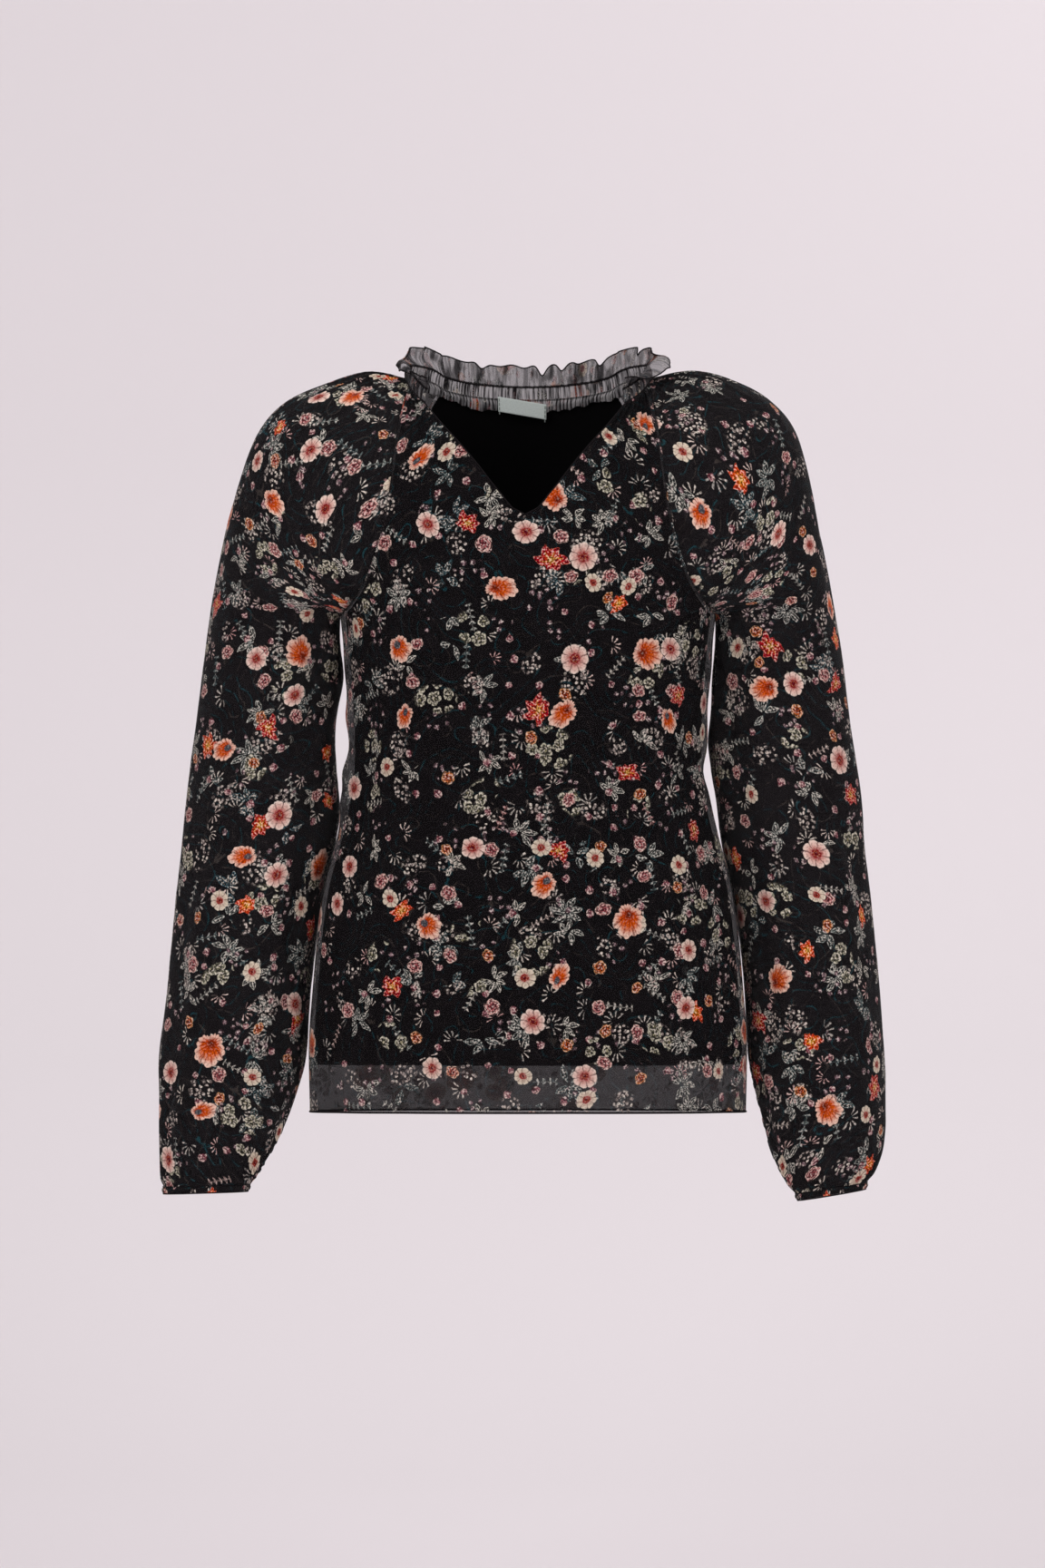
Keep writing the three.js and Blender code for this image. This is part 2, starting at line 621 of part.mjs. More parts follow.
// At a share of the seam: the point, the direction away from the neck, and up the standing trim.
function neckFrame(t, lean) {
  const point = neck.getPointAt(THREE.MathUtils.clamp(t, 0, 1));
  const run = neck.getTangentAt(THREE.MathUtils.clamp(t, 0, 1));
  const away = new THREE.Vector3(run.y, -run.x, 0).normalize();
  if (away.dot(new THREE.Vector3(point.x, point.y - 8, 0)) < 0) away.negate();
  const up = new THREE.Vector3(0, 0, 1).addScaledVector(away, -lean).normalize();
  return { point, away, up };
}

function neckStrip(columns, from, to, rows) {
  return rows.map((row) => {
    const line = [];
    for (let i = 0; i <= columns; i += 1) {
      const t = THREE.MathUtils.lerp(from, to, i / columns);
      const { point, away, up } = neckFrame(t, casing.lean);
      const { rise, out } = row(t, i);
      line.push({ point: point.clone().addScaledVector(up, rise).addScaledVector(away, out), out: away });
    }
    return line;
  });
}

const standOff = 0.35; // from one strip of the neck trim to the next

function neckCasing() {
  const columns = casing.gathers * 2;
  const edge = (rise) => () => ({ rise, out: -casing.gather });
  const middle = (t, i) => ({ rise: casing.height / 2, out: inAndOut(i) * casing.gather });
  return [neckStrip(columns, 0, 1, [edge(standOff), middle, edge(casing.height)])];
}

function neckRuffle() {
  const columns = ruffle.waves * ruffle.columnsPerWave;
  const tall = (t) => {
    const notch = ruffleNotches.reduce((sum, n) => {
      const off = (2 * t - 1 - n.at) / n.width;
      return sum + n.depth * Math.exp(-off * off);
    }, 0);
    return columnAt(ruffleEdge, "at", "height", 2 * t - 1) - notch;
  };
  const uneven = (t) => 0.35 * Math.sin(11 * t) + 0.2 * Math.sin(23 * t);
  const wave = (t) => Math.sin(2 * Math.PI * (ruffle.waves * t + uneven(t)));
  const row = (share) => (t) => ({
    rise: casing.height + standOff + share * (tall(t) - ruffle.sag * (1 - wave(t)) * 0.5),
    out: share * (columnAt(ruffleEdge, "at", "flare", 2 * t - 1) + ruffle.throw * wave(t)) - casing.gather,
  });
  return [neckStrip(columns, 0, 1, [0, 0.5, 1].map(row))];
}

// Gathered allowance that hangs inside the back of the neck, below the casing.
function neckFrill() {
  const columns = frill.waves * 2;
  const lowest = (t) => 1.5 * Math.cos(40 * t) - frill.drop;
  const rows = [
    () => ({ rise: frill.rise, out: -(wall + casing.gather + standOff) }),
    () => ({ rise: -2, out: 1 - frill.inset }),
    (t, i) => ({ rise: lowest(t), out: frill.throw * inAndOut(i) - frill.inset }),
  ];
  return [neckStrip(columns, 0.5 - frill.span / 2, 0.5 + frill.span / 2, rows)];
}

function neckLabel() {
  const centre = 0.5 + label.middleX / neckLength;
  const half = label.width / 2 / neckLength;
  const columns = 6;
  const rows = [0, 0.5, 1].map((down) => {
    const line = [];
    for (let i = 0; i <= columns; i += 1) {
      const t = THREE.MathUtils.lerp(centre + half, centre - half, i / columns);
      const { point, away } = neckFrame(t, 0);
      const across = (i / columns - 0.5) * label.width;
      const z = label.topZ + across * label.tilt - down * label.height;
      line.push({
        point: point.clone().setZ(z).addScaledVector(away, -label.inset - label.lean * down),
        out: away,
      });
    }
    return line;
  });
  return [rows];
}

// Elastic edge that closes the gathers of a sleeve.
function cuffBand(side) {
  const row = sleeveRow(side, armStations);
  const above = sleeveRow(side, armStations - 0.3);
  const columns = sleeveColumns;
  const rows = [0, 0.5, 1].map((share, j) => {
    const drop = cuff.clearance + share * cuff.height;
    const line = [];
    for (let i = 0; i <= columns; i += 1) {
      const u = i === columns ? 0 : i / columns;
      const edge = sleevePoint(row, u);
      const down = edge.clone().sub(sleevePoint(above, u)).normalize();
      const inward = new THREE.Vector3(0, 0, -1).lerp(down, 0.5).normalize();
      const middle = sleevePoint(row, 0).lerp(sleevePoint(row, 0.5), 0.5);
      const out = edge.clone().sub(middle).setZ(0).normalize();
      const puff = j === 1 ? 0.8 : 0;
      const point = edge.clone().addScaledVector(inward, drop);
      line.push({ point: point.addScaledVector(out, puff), out });
    }
    return line;
  });
  return [rows];
}

// Materials
const cloth = (name, color, roughness) =>
  new THREE.MeshStandardMaterial({ name, color, roughness, metalness: 0, side: THREE.DoubleSide });
const printedChiffon = cloth("printed_chiffon", 0x1f1a1b, 0.75);
const liningCloth = cloth("lining_black", 0x060506, 0.85);
const labelSatin = cloth("label_satin", 0xb9bdb8, 0.5);

const blouse = new THREE.Group();
blouse.name = "blouse";

function addPiece(name, grids, thickness, material) {
  const mesh = new THREE.Mesh(wallOf(grids, thickness), material);
  mesh.name = name;
  blouse.add(mesh);
}

addPiece("front_panel", frontPanel(), wall, printedChiffon);
addPiece("back_panel", backPanel(), wall, printedChiffon);
addPiece("sleeve_left", sleevePanel(1), wall, printedChiffon);
addPiece("sleeve_right", sleevePanel(-1), wall, printedChiffon);
addPiece("lining_front", frontLining(), liningWall, liningCloth);
addPiece("lining_back", [liningOf(backGrid(backColumns), backFolds)], liningWall, liningCloth);
addPiece("neck_casing", neckCasing(), wall, printedChiffon);
addPiece("neck_ruffle", neckRuffle(), wall, printedChiffon);
addPiece("neck_frill", neckFrill(), wall, printedChiffon);
addPiece("neck_label", neckLabel(), label.thickness, labelSatin);
addPiece("cuff_left", cuffBand(1), wall, printedChiffon);
addPiece("cuff_right", cuffBand(-1), wall, printedChiffon);

export default blouse;
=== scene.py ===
# Looks of a sheer floral blouse with a split, ruffled neck, filled out but worn by nobody.
from math import asin, cos, exp, hypot, pi, sin

import bmesh
import bpy
from mathutils import Matrix, Vector, noise


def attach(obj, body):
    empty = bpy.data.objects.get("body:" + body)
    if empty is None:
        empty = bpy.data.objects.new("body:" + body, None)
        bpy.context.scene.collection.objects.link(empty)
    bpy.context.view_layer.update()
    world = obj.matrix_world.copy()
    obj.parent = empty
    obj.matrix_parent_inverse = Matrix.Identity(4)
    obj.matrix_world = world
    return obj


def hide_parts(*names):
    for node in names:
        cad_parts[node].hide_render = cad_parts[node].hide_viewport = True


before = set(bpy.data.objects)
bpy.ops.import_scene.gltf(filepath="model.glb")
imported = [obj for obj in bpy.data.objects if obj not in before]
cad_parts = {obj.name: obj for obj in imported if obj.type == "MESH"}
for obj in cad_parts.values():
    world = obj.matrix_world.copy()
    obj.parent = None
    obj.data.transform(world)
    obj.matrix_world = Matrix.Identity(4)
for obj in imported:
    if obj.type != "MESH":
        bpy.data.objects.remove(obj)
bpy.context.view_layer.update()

print("frame loaded:", len(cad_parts), "nodes")

# Lengths below are in millimetres, and go into the meshes in metres.
mm = 0.001

# The garment's own shape, the same sizes as its solids are built from.
shape = {
    "hemZ": -634,
    "liningHemZ": -593,
    "liningInset": 4.0,
    "backNeckDip": 9,
    "splitPointX": -2.5,
    "splitPointZ": -122,
    "splitTopZ": -26,
    "splitStation": 3.55,  # the raglan station beside the point of the split
    "seamGap": 0.4,
}
bodyRings = [
    {"z": 12, "halfWidth": 100, "front": 36, "back": 56, "power": 2.0},
    {"z": -8, "halfWidth": 113, "front": 64, "back": 67, "power": 2.0},
    {"z": -24, "halfWidth": 126, "front": 81, "back": 75, "power": 2.0},
    {"z": -60, "halfWidth": 150, "front": 93, "back": 88, "power": 2.1},
    {"z": -100, "halfWidth": 162, "front": 99, "back": 97, "power": 2.2},
    {"z": -150, "halfWidth": 165, "front": 108, "back": 103, "power": 2.2},
    {"z": -207, "halfWidth": 161, "front": 116, "back": 101, "power": 2.25},
    {"z": -245, "halfWidth": 157, "front": 118, "back": 97, "power": 2.3},
    {"z": -311, "halfWidth": 153, "front": 112, "back": 92, "power": 2.3},
    {"z": -350, "halfWidth": 154, "front": 109, "back": 93, "power": 2.3},
    {"z": -396, "halfWidth": 163, "front": 109, "back": 98, "power": 2.3},
    {"z": -441, "halfWidth": 175, "front": 111, "back": 104, "power": 2.35},
    {"z": -533, "halfWidth": 185, "front": 114, "back": 110, "power": 2.4},
    {"z": -584, "halfWidth": 188, "front": 115, "back": 112, "power": 2.4},
    {"z": -634, "halfWidth": 187, "front": 114, "back": 112, "power": 2.4},
]
raglan = [
    {"frontX": 102, "frontZ": -12, "backX": 76, "backZ": -13},
    {"frontX": 108, "frontZ": -30, "backX": 86, "backZ": -30},
    {"frontX": 114, "frontZ": -60, "backX": 98, "backZ": -60},
    {"frontX": 119, "frontZ": -100, "backX": 110, "backZ": -100},
    {"frontX": 127, "frontZ": -140, "backX": 122, "backZ": -140},
    {"frontX": 139, "frontZ": -175, "backX": 137, "backZ": -175},
    {"frontX": 152, "frontZ": -197, "backX": 151, "backZ": -197},
    {"frontX": 161, "frontZ": -207, "backX": 161, "backZ": -207},
]
underarm = len(raglan) - 1
splitEdge = [
    {"z": -26, "halfWidth": 86},
    {"z": -42, "halfWidth": 73},
    {"z": -59, "halfWidth": 57.6},
    {"z": -72, "halfWidth": 46.4},
    {"z": -83, "halfWidth": 37.5},
    {"z": -96, "halfWidth": 27.5},
    {"z": -108, "halfWidth": 17.5},
    {"z": -116, "halfWidth": 11.5},
    {"z": -122, "halfWidth": 0},
]
sleeveHead = [
    {"out": 6, "forward": -10, "backward": -8, "up": 9, "crown": 12},
    {"out": 20, "forward": -7, "backward": -6, "up": 14, "crown": 22},
    {"out": 36, "forward": -2, "backward": -2, "up": 20, "crown": 34},
    {"out": 48, "forward": 0, "backward": 2, "up": 20, "crown": 46},
    {"out": 52, "forward": 2, "backward": 8, "up": 13, "crown": 56},
    {"out": 42, "forward": 8, "backward": 20, "up": 7, "crown": 66},
    {"out": 22, "forward": 30, "backward": 44, "up": 2, "crown": 75},
    {"out": 0, "forward": 82, "backward": 82, "up": 0, "crown": 82},
]
shoulderLine = {
    "right": [
        {"x": 106, "y": 8, "z": -4},
        {"x": 135, "y": 6, "z": 1.5},
        {"x": 181, "y": 5, "z": -12.5},
        {"x": 211, "y": 5, "z": -27},
        {"x": 231, "y": 6, "z": -49},
        {"x": 245, "y": 7, "z": -82},
        {"x": 258, "y": 8, "z": -127},
        {"x": 272, "y": 10, "z": -205},
    ],
    "left": [
        {"x": 107, "y": 8, "z": -4},
        {"x": 143, "y": 6, "z": 2.5},
        {"x": 187, "y": 5, "z": -10},
        {"x": 212, "y": 5, "z": -26},
        {"x": 229, "y": 6, "z": -48},
        {"x": 240, "y": 7, "z": -82},
        {"x": 249, "y": 8, "z": -127},
        {"x": 262, "y": 10, "z": -205},
    ],
}
armColumns = ("innerX", "innerZ", "outerX", "outerZ", "middleY", "halfDepth")
armRings = {
    "right": [
        (163, -250, 278, -250, 15, 61),
        (166, -311, 286, -311, 20, 62),
        (163, -366, 293, -366, 25, 64),
        (166, -405, 297, -405, 28, 65),
        (175, -441, 301, -441, 29, 66),
        (182.5, -490, 306, -490, 28, 67),
        (187, -533, 310, -533, 26, 67),
        (191, -584, 316, -584, 22, 65),
        (197, -610, 317, -612, 19, 62),
        (206, -636, 317, -640, 16, 58),
        (217, -661, 316, -668, 13, 52),
        (230, -684, 315, -688, 10, 44),
        (239, -697, 314, -699, 9, 38),
    ],
    "left": [
        (161, -250, 269, -250, 15, 61),
        (158, -311, 277, -311, 20, 63),
        (162, -366, 285, -366, 25, 65),
        (167, -405, 288, -405, 28, 66),
        (175, -441, 292, -441, 29, 67),
        (182.5, -490, 297, -490, 28, 68),
        (187, -533, 301, -533, 26, 68),
        (190, -584, 304, -584, 22, 66),
        (195, -612, 305, -610, 19, 63),
        (202, -640, 305, -636, 16, 58),
        (210, -668, 303, -661, 13, 51),
        (221, -692, 298, -682, 10, 44),
        (230, -705, 292, -695, 9, 38),
    ],
}
armStations = underarm + len(armRings["left"])


def lerp(a, b, t):
    return a + (b - a) * t


def smoothStep(value, low, high):
    t = min(1.0, max(0.0, (value - low) / (high - low)))
    return t * t * (3 - 2 * t)


# A smooth value of one column of a table, between rows placed by the column named by.
def columnAt(rows, by, key, at):
    rising = rows[-1][by] > rows[0][by]
    i = 0
    while i < len(rows) - 2 and (rows[i + 1][by] < at if rising else rows[i + 1][by] > at):
        i += 1

    def slope(a, b):
        return (rows[b][key] - rows[a][key]) / (rows[b][by] - rows[a][by])

    here = slope(i, i + 1)

    def tangent(a, b):
        if a < 0 or b > len(rows) - 1:
            return here
        other = slope(a, i) if a < i else slope(i + 1, b)
        return 0 if other * here <= 0 else (other + here) / 2

    span = rows[i + 1][by] - rows[i][by]
    t = min(1.0, max(0.0, (at - rows[i][by]) / span))
    t2, t3 = t * t, t * t * t
    return (
        rows[i][key] * (2 * t3 - 3 * t2 + 1)
        + tangent(i - 1, i + 1) * span * (t3 - 2 * t2 + t)
        + rows[i + 1][key] * (3 * t2 - 2 * t3)
        + tangent(i, i + 2) * span * (t3 - t2)
    )


def numbered(rows):
    return [{"station": station, **row} for station, row in enumerate(rows)]


raglanStations = numbered(raglan)


def raglanAt(key, s):
    return columnAt(raglanStations, "station", key, s)


ringCache = {}


def bodyRing(z):
    at = round(min(bodyRings[0]["z"], max(shape["hemZ"], z)), 2)
    if at not in ringCache:
        keys = ("halfWidth", "front", "back", "power")
        ringCache[at] = [columnAt(bodyRings, "z", key, at) for key in keys]
    return ringCache[at]


def bodyAngle(x, z):
    halfWidth, _, _, power = bodyRing(z)
    share = min(1.0, abs(x) / halfWidth)
    return (1 if x > 0 else -1) * asin(share ** (power / 2))


def bodyPoint(angle, z, facing):
    halfWidth, front, back, power = bodyRing(z)
    depth = front if facing < 0 else back
    side = 1 if angle > 0 else -1
    return Vector((
        side * halfWidth * abs(sin(angle)) ** (2 / power),
        facing * depth * max(0.0, cos(angle)) ** (2 / power),
        z,
    ))


arcCache = {}
arcSteps = 60


# Distance round the body from the middle to an angle, at one height.
def arcLength(angle, z, facing):
    name = (round(z), facing)
    if name not in arcCache:
        sums = [0.0]
        before = bodyPoint(0, name[0], facing)
        for i in range(1, arcSteps + 1):
            here = bodyPoint(i / arcSteps * pi / 2, name[0], facing)
            sums.append(sums[-1] + (here - before).length)
            before = here
        arcCache[name] = sums
    sums = arcCache[name]
    at = min(arcSteps - 1e-6, abs(angle) / (pi / 2) * arcSteps)
    i = int(at)
    return (1 if angle > 0 else -1) * lerp(sums[i], sums[i + 1], at - i)


def seamPoint(side, facing, s):
    z = raglanAt("frontZ" if facing < 0 else "backZ", s)
    x = raglanAt("frontX" if facing < 0 else "backX", s)
    return bodyPoint(side * abs(bodyAngle(x, z)), z, facing)


def neckDistance(s):
    return raglanAt("frontZ", 0) - raglanAt("frontZ", s)


def centreX(z):
    return shape["splitPointX"] * (1 - smoothStep(-z, -shape["splitPointZ"], 330))


# Rows of the body pieces: first along the raglan seams, then straight round, down to the hem.
bodyDetail = {
    "capRowsAboveSplit": 22,
    "capRowsBelowSplit": 20,
    "rowStep": 5.6,
    "frontHalfColumns": 92,
    "backColumns": 150,
}


def capStations():
    above, below = bodyDetail["capRowsAboveSplit"], bodyDetail["capRowsBelowSplit"]
    point = shape["splitStation"]
    first = [point * i / above for i in range(above)]
    return first + [lerp(point, underarm, i / below) for i in range(below + 1)]


def rowHeights(lowest):
    top = raglanAt("frontZ", underarm)
    count = round((top - lowest) / bodyDetail["rowStep"])
    return [lerp(top, lowest, i / count) for i in range(1, count + 1)]


def frontRows(side, lowest):
    top, bottom = raglanAt("frontZ", 0), raglanAt("frontZ", underarm)
    split, pointZ = shape["splitStation"], shape["splitPointZ"]
    rows = []
    for s in capStations():
        seamZ = raglanAt("frontZ", s)
        opened = 0
        if s < split - 1e-6:
            innerZ = lerp(shape["splitTopZ"], pointZ, (seamZ - top) / (raglanAt("frontZ", split) - top))
            opened = columnAt(splitEdge, "z", "halfWidth", innerZ)
        else:
            innerZ = lerp(pointZ, bottom, (s - split) / (underarm - split))
        rows.append({
            "innerZ": innerZ,
            "innerAngle": bodyAngle(centreX(innerZ) + side * opened, innerZ),
            "outerZ": seamZ,
            "outerAngle": side * abs(bodyAngle(raglanAt("frontX", s), seamZ)),
            "fromNeck": neckDistance(s),
        })
    for z in rowHeights(lowest):
        rows.append({
            "innerZ": z,
            "innerAngle": bodyAngle(centreX(z), z),
            "outerZ": z,
            "outerAngle": side * pi / 2,
            "fromNeck": raglan[0]["frontZ"] - z,
        })
    return rows


def backRows(lowest):
    rows = []
    for s in capStations():
        z = raglanAt("backZ", s)
        dip = shape["backNeckDip"] * (1 - smoothStep(s, 0, 4))
        angle = abs(bodyAngle(raglanAt("backX", s), z))
        rows.append({"z": z, "angle": angle, "dip": dip, "fromNeck": neckDistance(s)})
    for z in rowHeights(lowest):
        rows.append({"z": z, "angle": pi / 2, "dip": 0, "fromNeck": raglan[0]["frontZ"] - z})
    return rows


# Sleeves: each row runs from the front seam over the outer line to the back seam, as two curves.
def sleeveTables(name):
    head = [{**shoulderLine[name][i], **sleeveHead[i]} for i in range(len(raglan))]
    rings = [dict(zip(armColumns, ring)) for ring in armRings[name]]
    arm = []
    for ring in rings:
        reach = 4 / 3 * ring["halfDepth"]
        arm.append({
            "x": ring["outerX"], "y": ring["middleY"], "z": ring["outerZ"],
            "out": 0, "forward": reach, "backward": reach, "up": 0, "crown": reach,
        })
    last = seamPoint(1, -1, underarm)
    inner = [{"innerX": last.x + shape["seamGap"] / 2, "innerY": 0, "innerZ": last.z}]
    inner += [{"innerX": r["innerX"], "innerY": r["middleY"], "innerZ": r["innerZ"]} for r in rings]
    return {"outer": numbered(head + arm), "inner": numbered(inner)}


sleeveData = {1: sleeveTables("left"), -1: sleeveTables("right")}


def sleeveRow(side, s):
    data = sleeveData[side]

    def read(key):
        return columnAt(data["outer"], "station", key, s)

    def end(facing):
        if s < underarm:
            return seamPoint(side, facing, s)
        at = s - underarm
        inner = [columnAt(data["inner"], "station", key, at) for key in ("innerX", "innerY", "innerZ")]
        return Vector((side * inner[0], inner[1], inner[2]))

    middle = Vector((side * read("x"), read("y"), read("z")))

    def half(facing):
        away = facing * read("forward" if facing < 0 else "backward")
        return [
            end(facing),
            end(facing) + Vector((side * read("out"), away, read("up"))),
            middle + Vector((0, facing * read("crown"), 0)),
            middle,
        ]

    return half(-1), half(1)[::-1]


def bezierPoint(points, t):
    a, b, c, d = points
    r = 1 - t
    return a * (r * r * r) + b * (3 * r * r * t) + c * (3 * r * t * t) + d * (t * t * t)


def sleevePoint(row, u):
    front, back = row
    return bezierPoint(front, u * 2) if u <= 0.5 else bezierPoint(back, u * 2 - 1)


# How far it still is to the cuff, at each station down the sleeve
sleeveRun = {"fromNeck": 700, "fromUnderarm": 490}
armLengths = [
    {"station": 0, "length": sleeveRun["fromNeck"]},
    {"station": underarm, "length": sleeveRun["fromUnderarm"]},
]
for i, ring in enumerate(armRings["left"]):
    armLengths.append({"station": underarm + 1 + i, "length": sleeveRun["fromNeck"] + (ring[1] + ring[3]) / 2})

# The neck seam, from the right end of the split round the back to the left end.
neckDetail = {"samples": 48, "smoothing": 5.0, "lean": 0.22, "middleY": 8, "trimFullness": 1.9}


def neckPath():
    count = neckDetail["samples"]
    steps = [i / count for i in range(count + 1)]

    def front(side):
        row = frontRows(side, shape["hemZ"])[0]
        return [
            bodyPoint(lerp(row["innerAngle"], row["outerAngle"], u), lerp(row["innerZ"], row["outerZ"], u), -1)
            for u in steps
        ]

    back = backRows(shape["hemZ"])[0]
    backLine = [
        bodyPoint(back["angle"] * (2 * u - 1), back["z"] - back["dip"] * (1 - (2 * u - 1) ** 2), 1) for u in steps
    ]
    sleeve = {side: [sleevePoint(sleeveRow(side, 0), u) for u in steps] for side in (-1, 1)}
    parts = [front(-1), sleeve[-1], backLine, sleeve[1][::-1], front(1)[::-1]]
    path, ends = [parts[0][0]], []
    for part in parts:
        path += part[1:]
        ends.append(len(path) - 1)
    sums = [0.0]
    for a, b in zip(path, path[1:]):
        sums.append(sums[-1] + (b - a).length)
    return path, sums, [0.0] + [sums[i] / sums[-1] for i in ends]


neckPoints, neckSums, neckShares = neckPath()
neckLength = neckSums[-1]
neckPartNames = ("frontRight", "sleeveRight", "back", "sleeveLeft", "frontLeft")
neckParts = dict(zip(neckPartNames, zip(neckShares, neckShares[1:])))


def neckPoint(t):
    at = min(1.0, max(0.0, t)) * neckLength
    low, high = 0, len(neckSums) - 1
    while high - low > 1:
        middle = (low + high) // 2
        low, high = (middle, high) if neckSums[middle] <= at else (low, middle)
    return neckPoints[low].lerp(neckPoints[high], (at - neckSums[low]) / (neckSums[high] - neckSums[low]))


def neckFrame(t, lean):
    reach = neckDetail["smoothing"] / neckLength
    low, high = max(0.0, t - reach), min(1.0, t + reach)
    middle = neckPoint(t)
    if reach < t < 1 - reach:
        middle = (neckPoint(low) + neckPoint(high) + middle * 2) / 4
    run = neckPoint(high) - neckPoint(low)
    away = Vector((run.y, -run.x, 0)).normalized()
    if away.dot(Vector((middle.x, middle.y - neckDetail["middleY"], 0))) < 0:
        away.negate()
    up = (Vector((0, 0, 1)) - away * lean).normalized()
    return middle, away, up


# An uneven ripple between about -1 and 1: count waves over t from 0 to 1.
def ripple(t, count, seed, drift=0.8):
    slow = noise.noise(Vector((t * count * 0.23, seed, 0.5)))
    swell = 0.8 + 0.5 * noise.noise(Vector((t * count * 0.41, seed + 9.7, 1.5)))
    return sin(2 * pi * (t * count + drift * slow)) * swell


def wobble(x, y, size, seed):
    return noise.noise(Vector((x / size, y / size, seed)))


# Soft troughs (depth over 0) and ridges (under 0) between two places on the flat cloth.
def creaseDepth(creases, x, y):
    total = 0.0
    for x1, y1, x2, y2, depth, width in creases:
        if abs(x - (x1 + x2) / 2) > abs(x2 - x1) / 2 + 3 * width:
            continue
        runX, runY = x2 - x1, y2 - y1
        length = hypot(runX, runY)
        along = ((x - x1) * runX + (y - y1) * runY) / (length * length)
        if not -0.25 < along < 1.25:
            continue
        bend = 0.06 * length * sin(pi * min(1, max(0, along)))
        aside = ((x - x1) * runY - (y - y1) * runX) / length - bend
        fade = smoothStep(along, -0.2, 0.3) * (1 - smoothStep(along, 0.65, 1.2))
        total += depth * fade * exp(-(aside / width) ** 2)
    return total


def foldDepth(folds, across, along, ramp, wrapped=False):
    total = 0.0
    for at, depth, width, start, end in folds:
        off = across - at
        if wrapped:
            off = (off + 0.5) % 1 - 0.5
        if abs(off) > 3 * width:
            continue
        fade = smoothStep(along, start, start + ramp) * (1 - smoothStep(along, end - ramp, end))
        total += depth * fade * exp(-(off / width) ** 2)
    return total


def addToScene(name, data):
    thing = bpy.data.objects.new(name, data)
    bpy.context.scene.collection.objects.link(thing)
    return thing


def meshFrom(bm, name):
    mesh = bpy.data.meshes.new(name)
    bm.to_mesh(mesh)
    bm.free()
    return mesh


def newPiece(name, mesh, materials):
    for material in materials:
        mesh.materials.append(material)
    piece = addToScene(name, mesh)
    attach(piece, "root")
    return piece


# Sheets: a grid is laid on the garment by a function, then pushed in or out along its own normals.
# Each point keeps the two shares that the relief needs, and its place on the flat cloth.
sheetLayers = ("across", "along", "flatX", "flatY")


def layersOf(bm):
    return [bm.verts.layers.float[name] for name in sheetLayers]


def newSheet():
    bm = bmesh.new()
    bm.loops.layers.uv.new("flatCut")
    for name in sheetLayers:
        bm.verts.layers.float.new(name)
    return bm


# spotAt gives the place in millimetres, then what the point keeps.
def layGrid(bm, columns, rows, spotAt, turned=False):
    made = bmesh.ops.create_grid(bm, x_segments=columns, y_segments=rows, size=0.5)
    layers = layersOf(bm)
    uvLayer = bm.loops.layers.uv["flatCut"]
    faces = {face for vert in made["verts"] for face in vert.link_faces}
    for vert in made["verts"]:
        i = round((vert.co.x + 0.5) * columns)
        j = round((0.5 - vert.co.y) * rows)
        place, *kept = spotAt(i, j)
        vert.co = place * mm
        for layer, value in zip(layers, kept):
            vert[layer] = value
    for face in faces:
        for loop in face.loops:
            loop[uvLayer].uv = (loop.vert[layers[2]] * mm, loop.vert[layers[3]] * mm)
    if turned:
        bmesh.ops.reverse_faces(bm, faces=list(faces))


def pushSheet(bm, reliefAt):
    layers = layersOf(bm)
    bm.normal_update()
    normals = [vert.normal.copy() for vert in bm.verts]
    for vert, normal in zip(bm.verts, normals):
        vert.co += normal * reliefAt(*[vert[layer] for layer in layers]) * mm


def finishSheet(bm, name, materials, thickness, node):
    for layerName in sheetLayers:
        bm.verts.layers.float.remove(bm.verts.layers.float[layerName])
    for face in bm.faces:
        face.smooth = True
    piece = newPiece(name, meshFrom(bm, name), materials)
    wall = piece.modifiers.new("thickness", "SOLIDIFY")
    wall.thickness = thickness * mm
    wall.offset = -1
    wall.material_offset = len(materials) - 1
    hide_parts(node)
    return piece


# Nodes for materials
class Desk:
    def __init__(self, tree):
        self.tree = tree

    def node(self, kind, **values):
        made = self.tree.nodes.new(kind)
        for key, value in values.items():
            setattr(made, key, value)
        return made

    def feed(self, socket, value):
        if isinstance(value, bpy.types.NodeSocket):
            self.tree.links.new(value, socket)
        else:
            socket.default_value = value

    def calc(self, operation, *values, clamp=False):
        made = self.node("ShaderNodeMath", operation=operation, use_clamp=clamp)
        for socket, value in zip(made.inputs, values):
            self.feed(socket, value)
        return made.outputs[0]

    # The outputs of a new node whose inputs are fed by name or number
    def fed(self, kind, inputs, **values):
        made = self.node(kind, **values)
        for key, value in inputs.items():
            self.feed(made.inputs[key], value)
        return made.outputs

    # 0 below low, 1 above high
    def step(self, value, low, high):
        inputs = {"Value": value, "From Min": low, "From Max": high}
        return self.fed("ShaderNodeMapRange", inputs, interpolation_type="SMOOTHSTEP")["Result"]

    def mix(self, factor, under, over):
        return self.fed("ShaderNodeMix", {0: factor, 6: under, 7: over}, data_type="RGBA")[2]

    def ramp(self, factor, stops):
        made = self.node("ShaderNodeValToRGB")
        points = made.color_ramp.elements
        while len(points) < len(stops):
            points.new(1.0)
        for point, (at, color) in zip(points, stops):
            point.position = at
            point.color = color
        self.feed(made.inputs[0], factor)
        return made.outputs[0]

    def vector(self, operation, first, second):
        return self.fed("ShaderNodeVectorMath", {0: first, 1: second}, operation=operation)[0]

    def clouds(self, vector, scale, detail):
        inputs = {"Vector": vector, "Scale": scale, "Detail": detail}
        return self.fed("ShaderNodeTexNoise", inputs, noise_dimensions="2D")


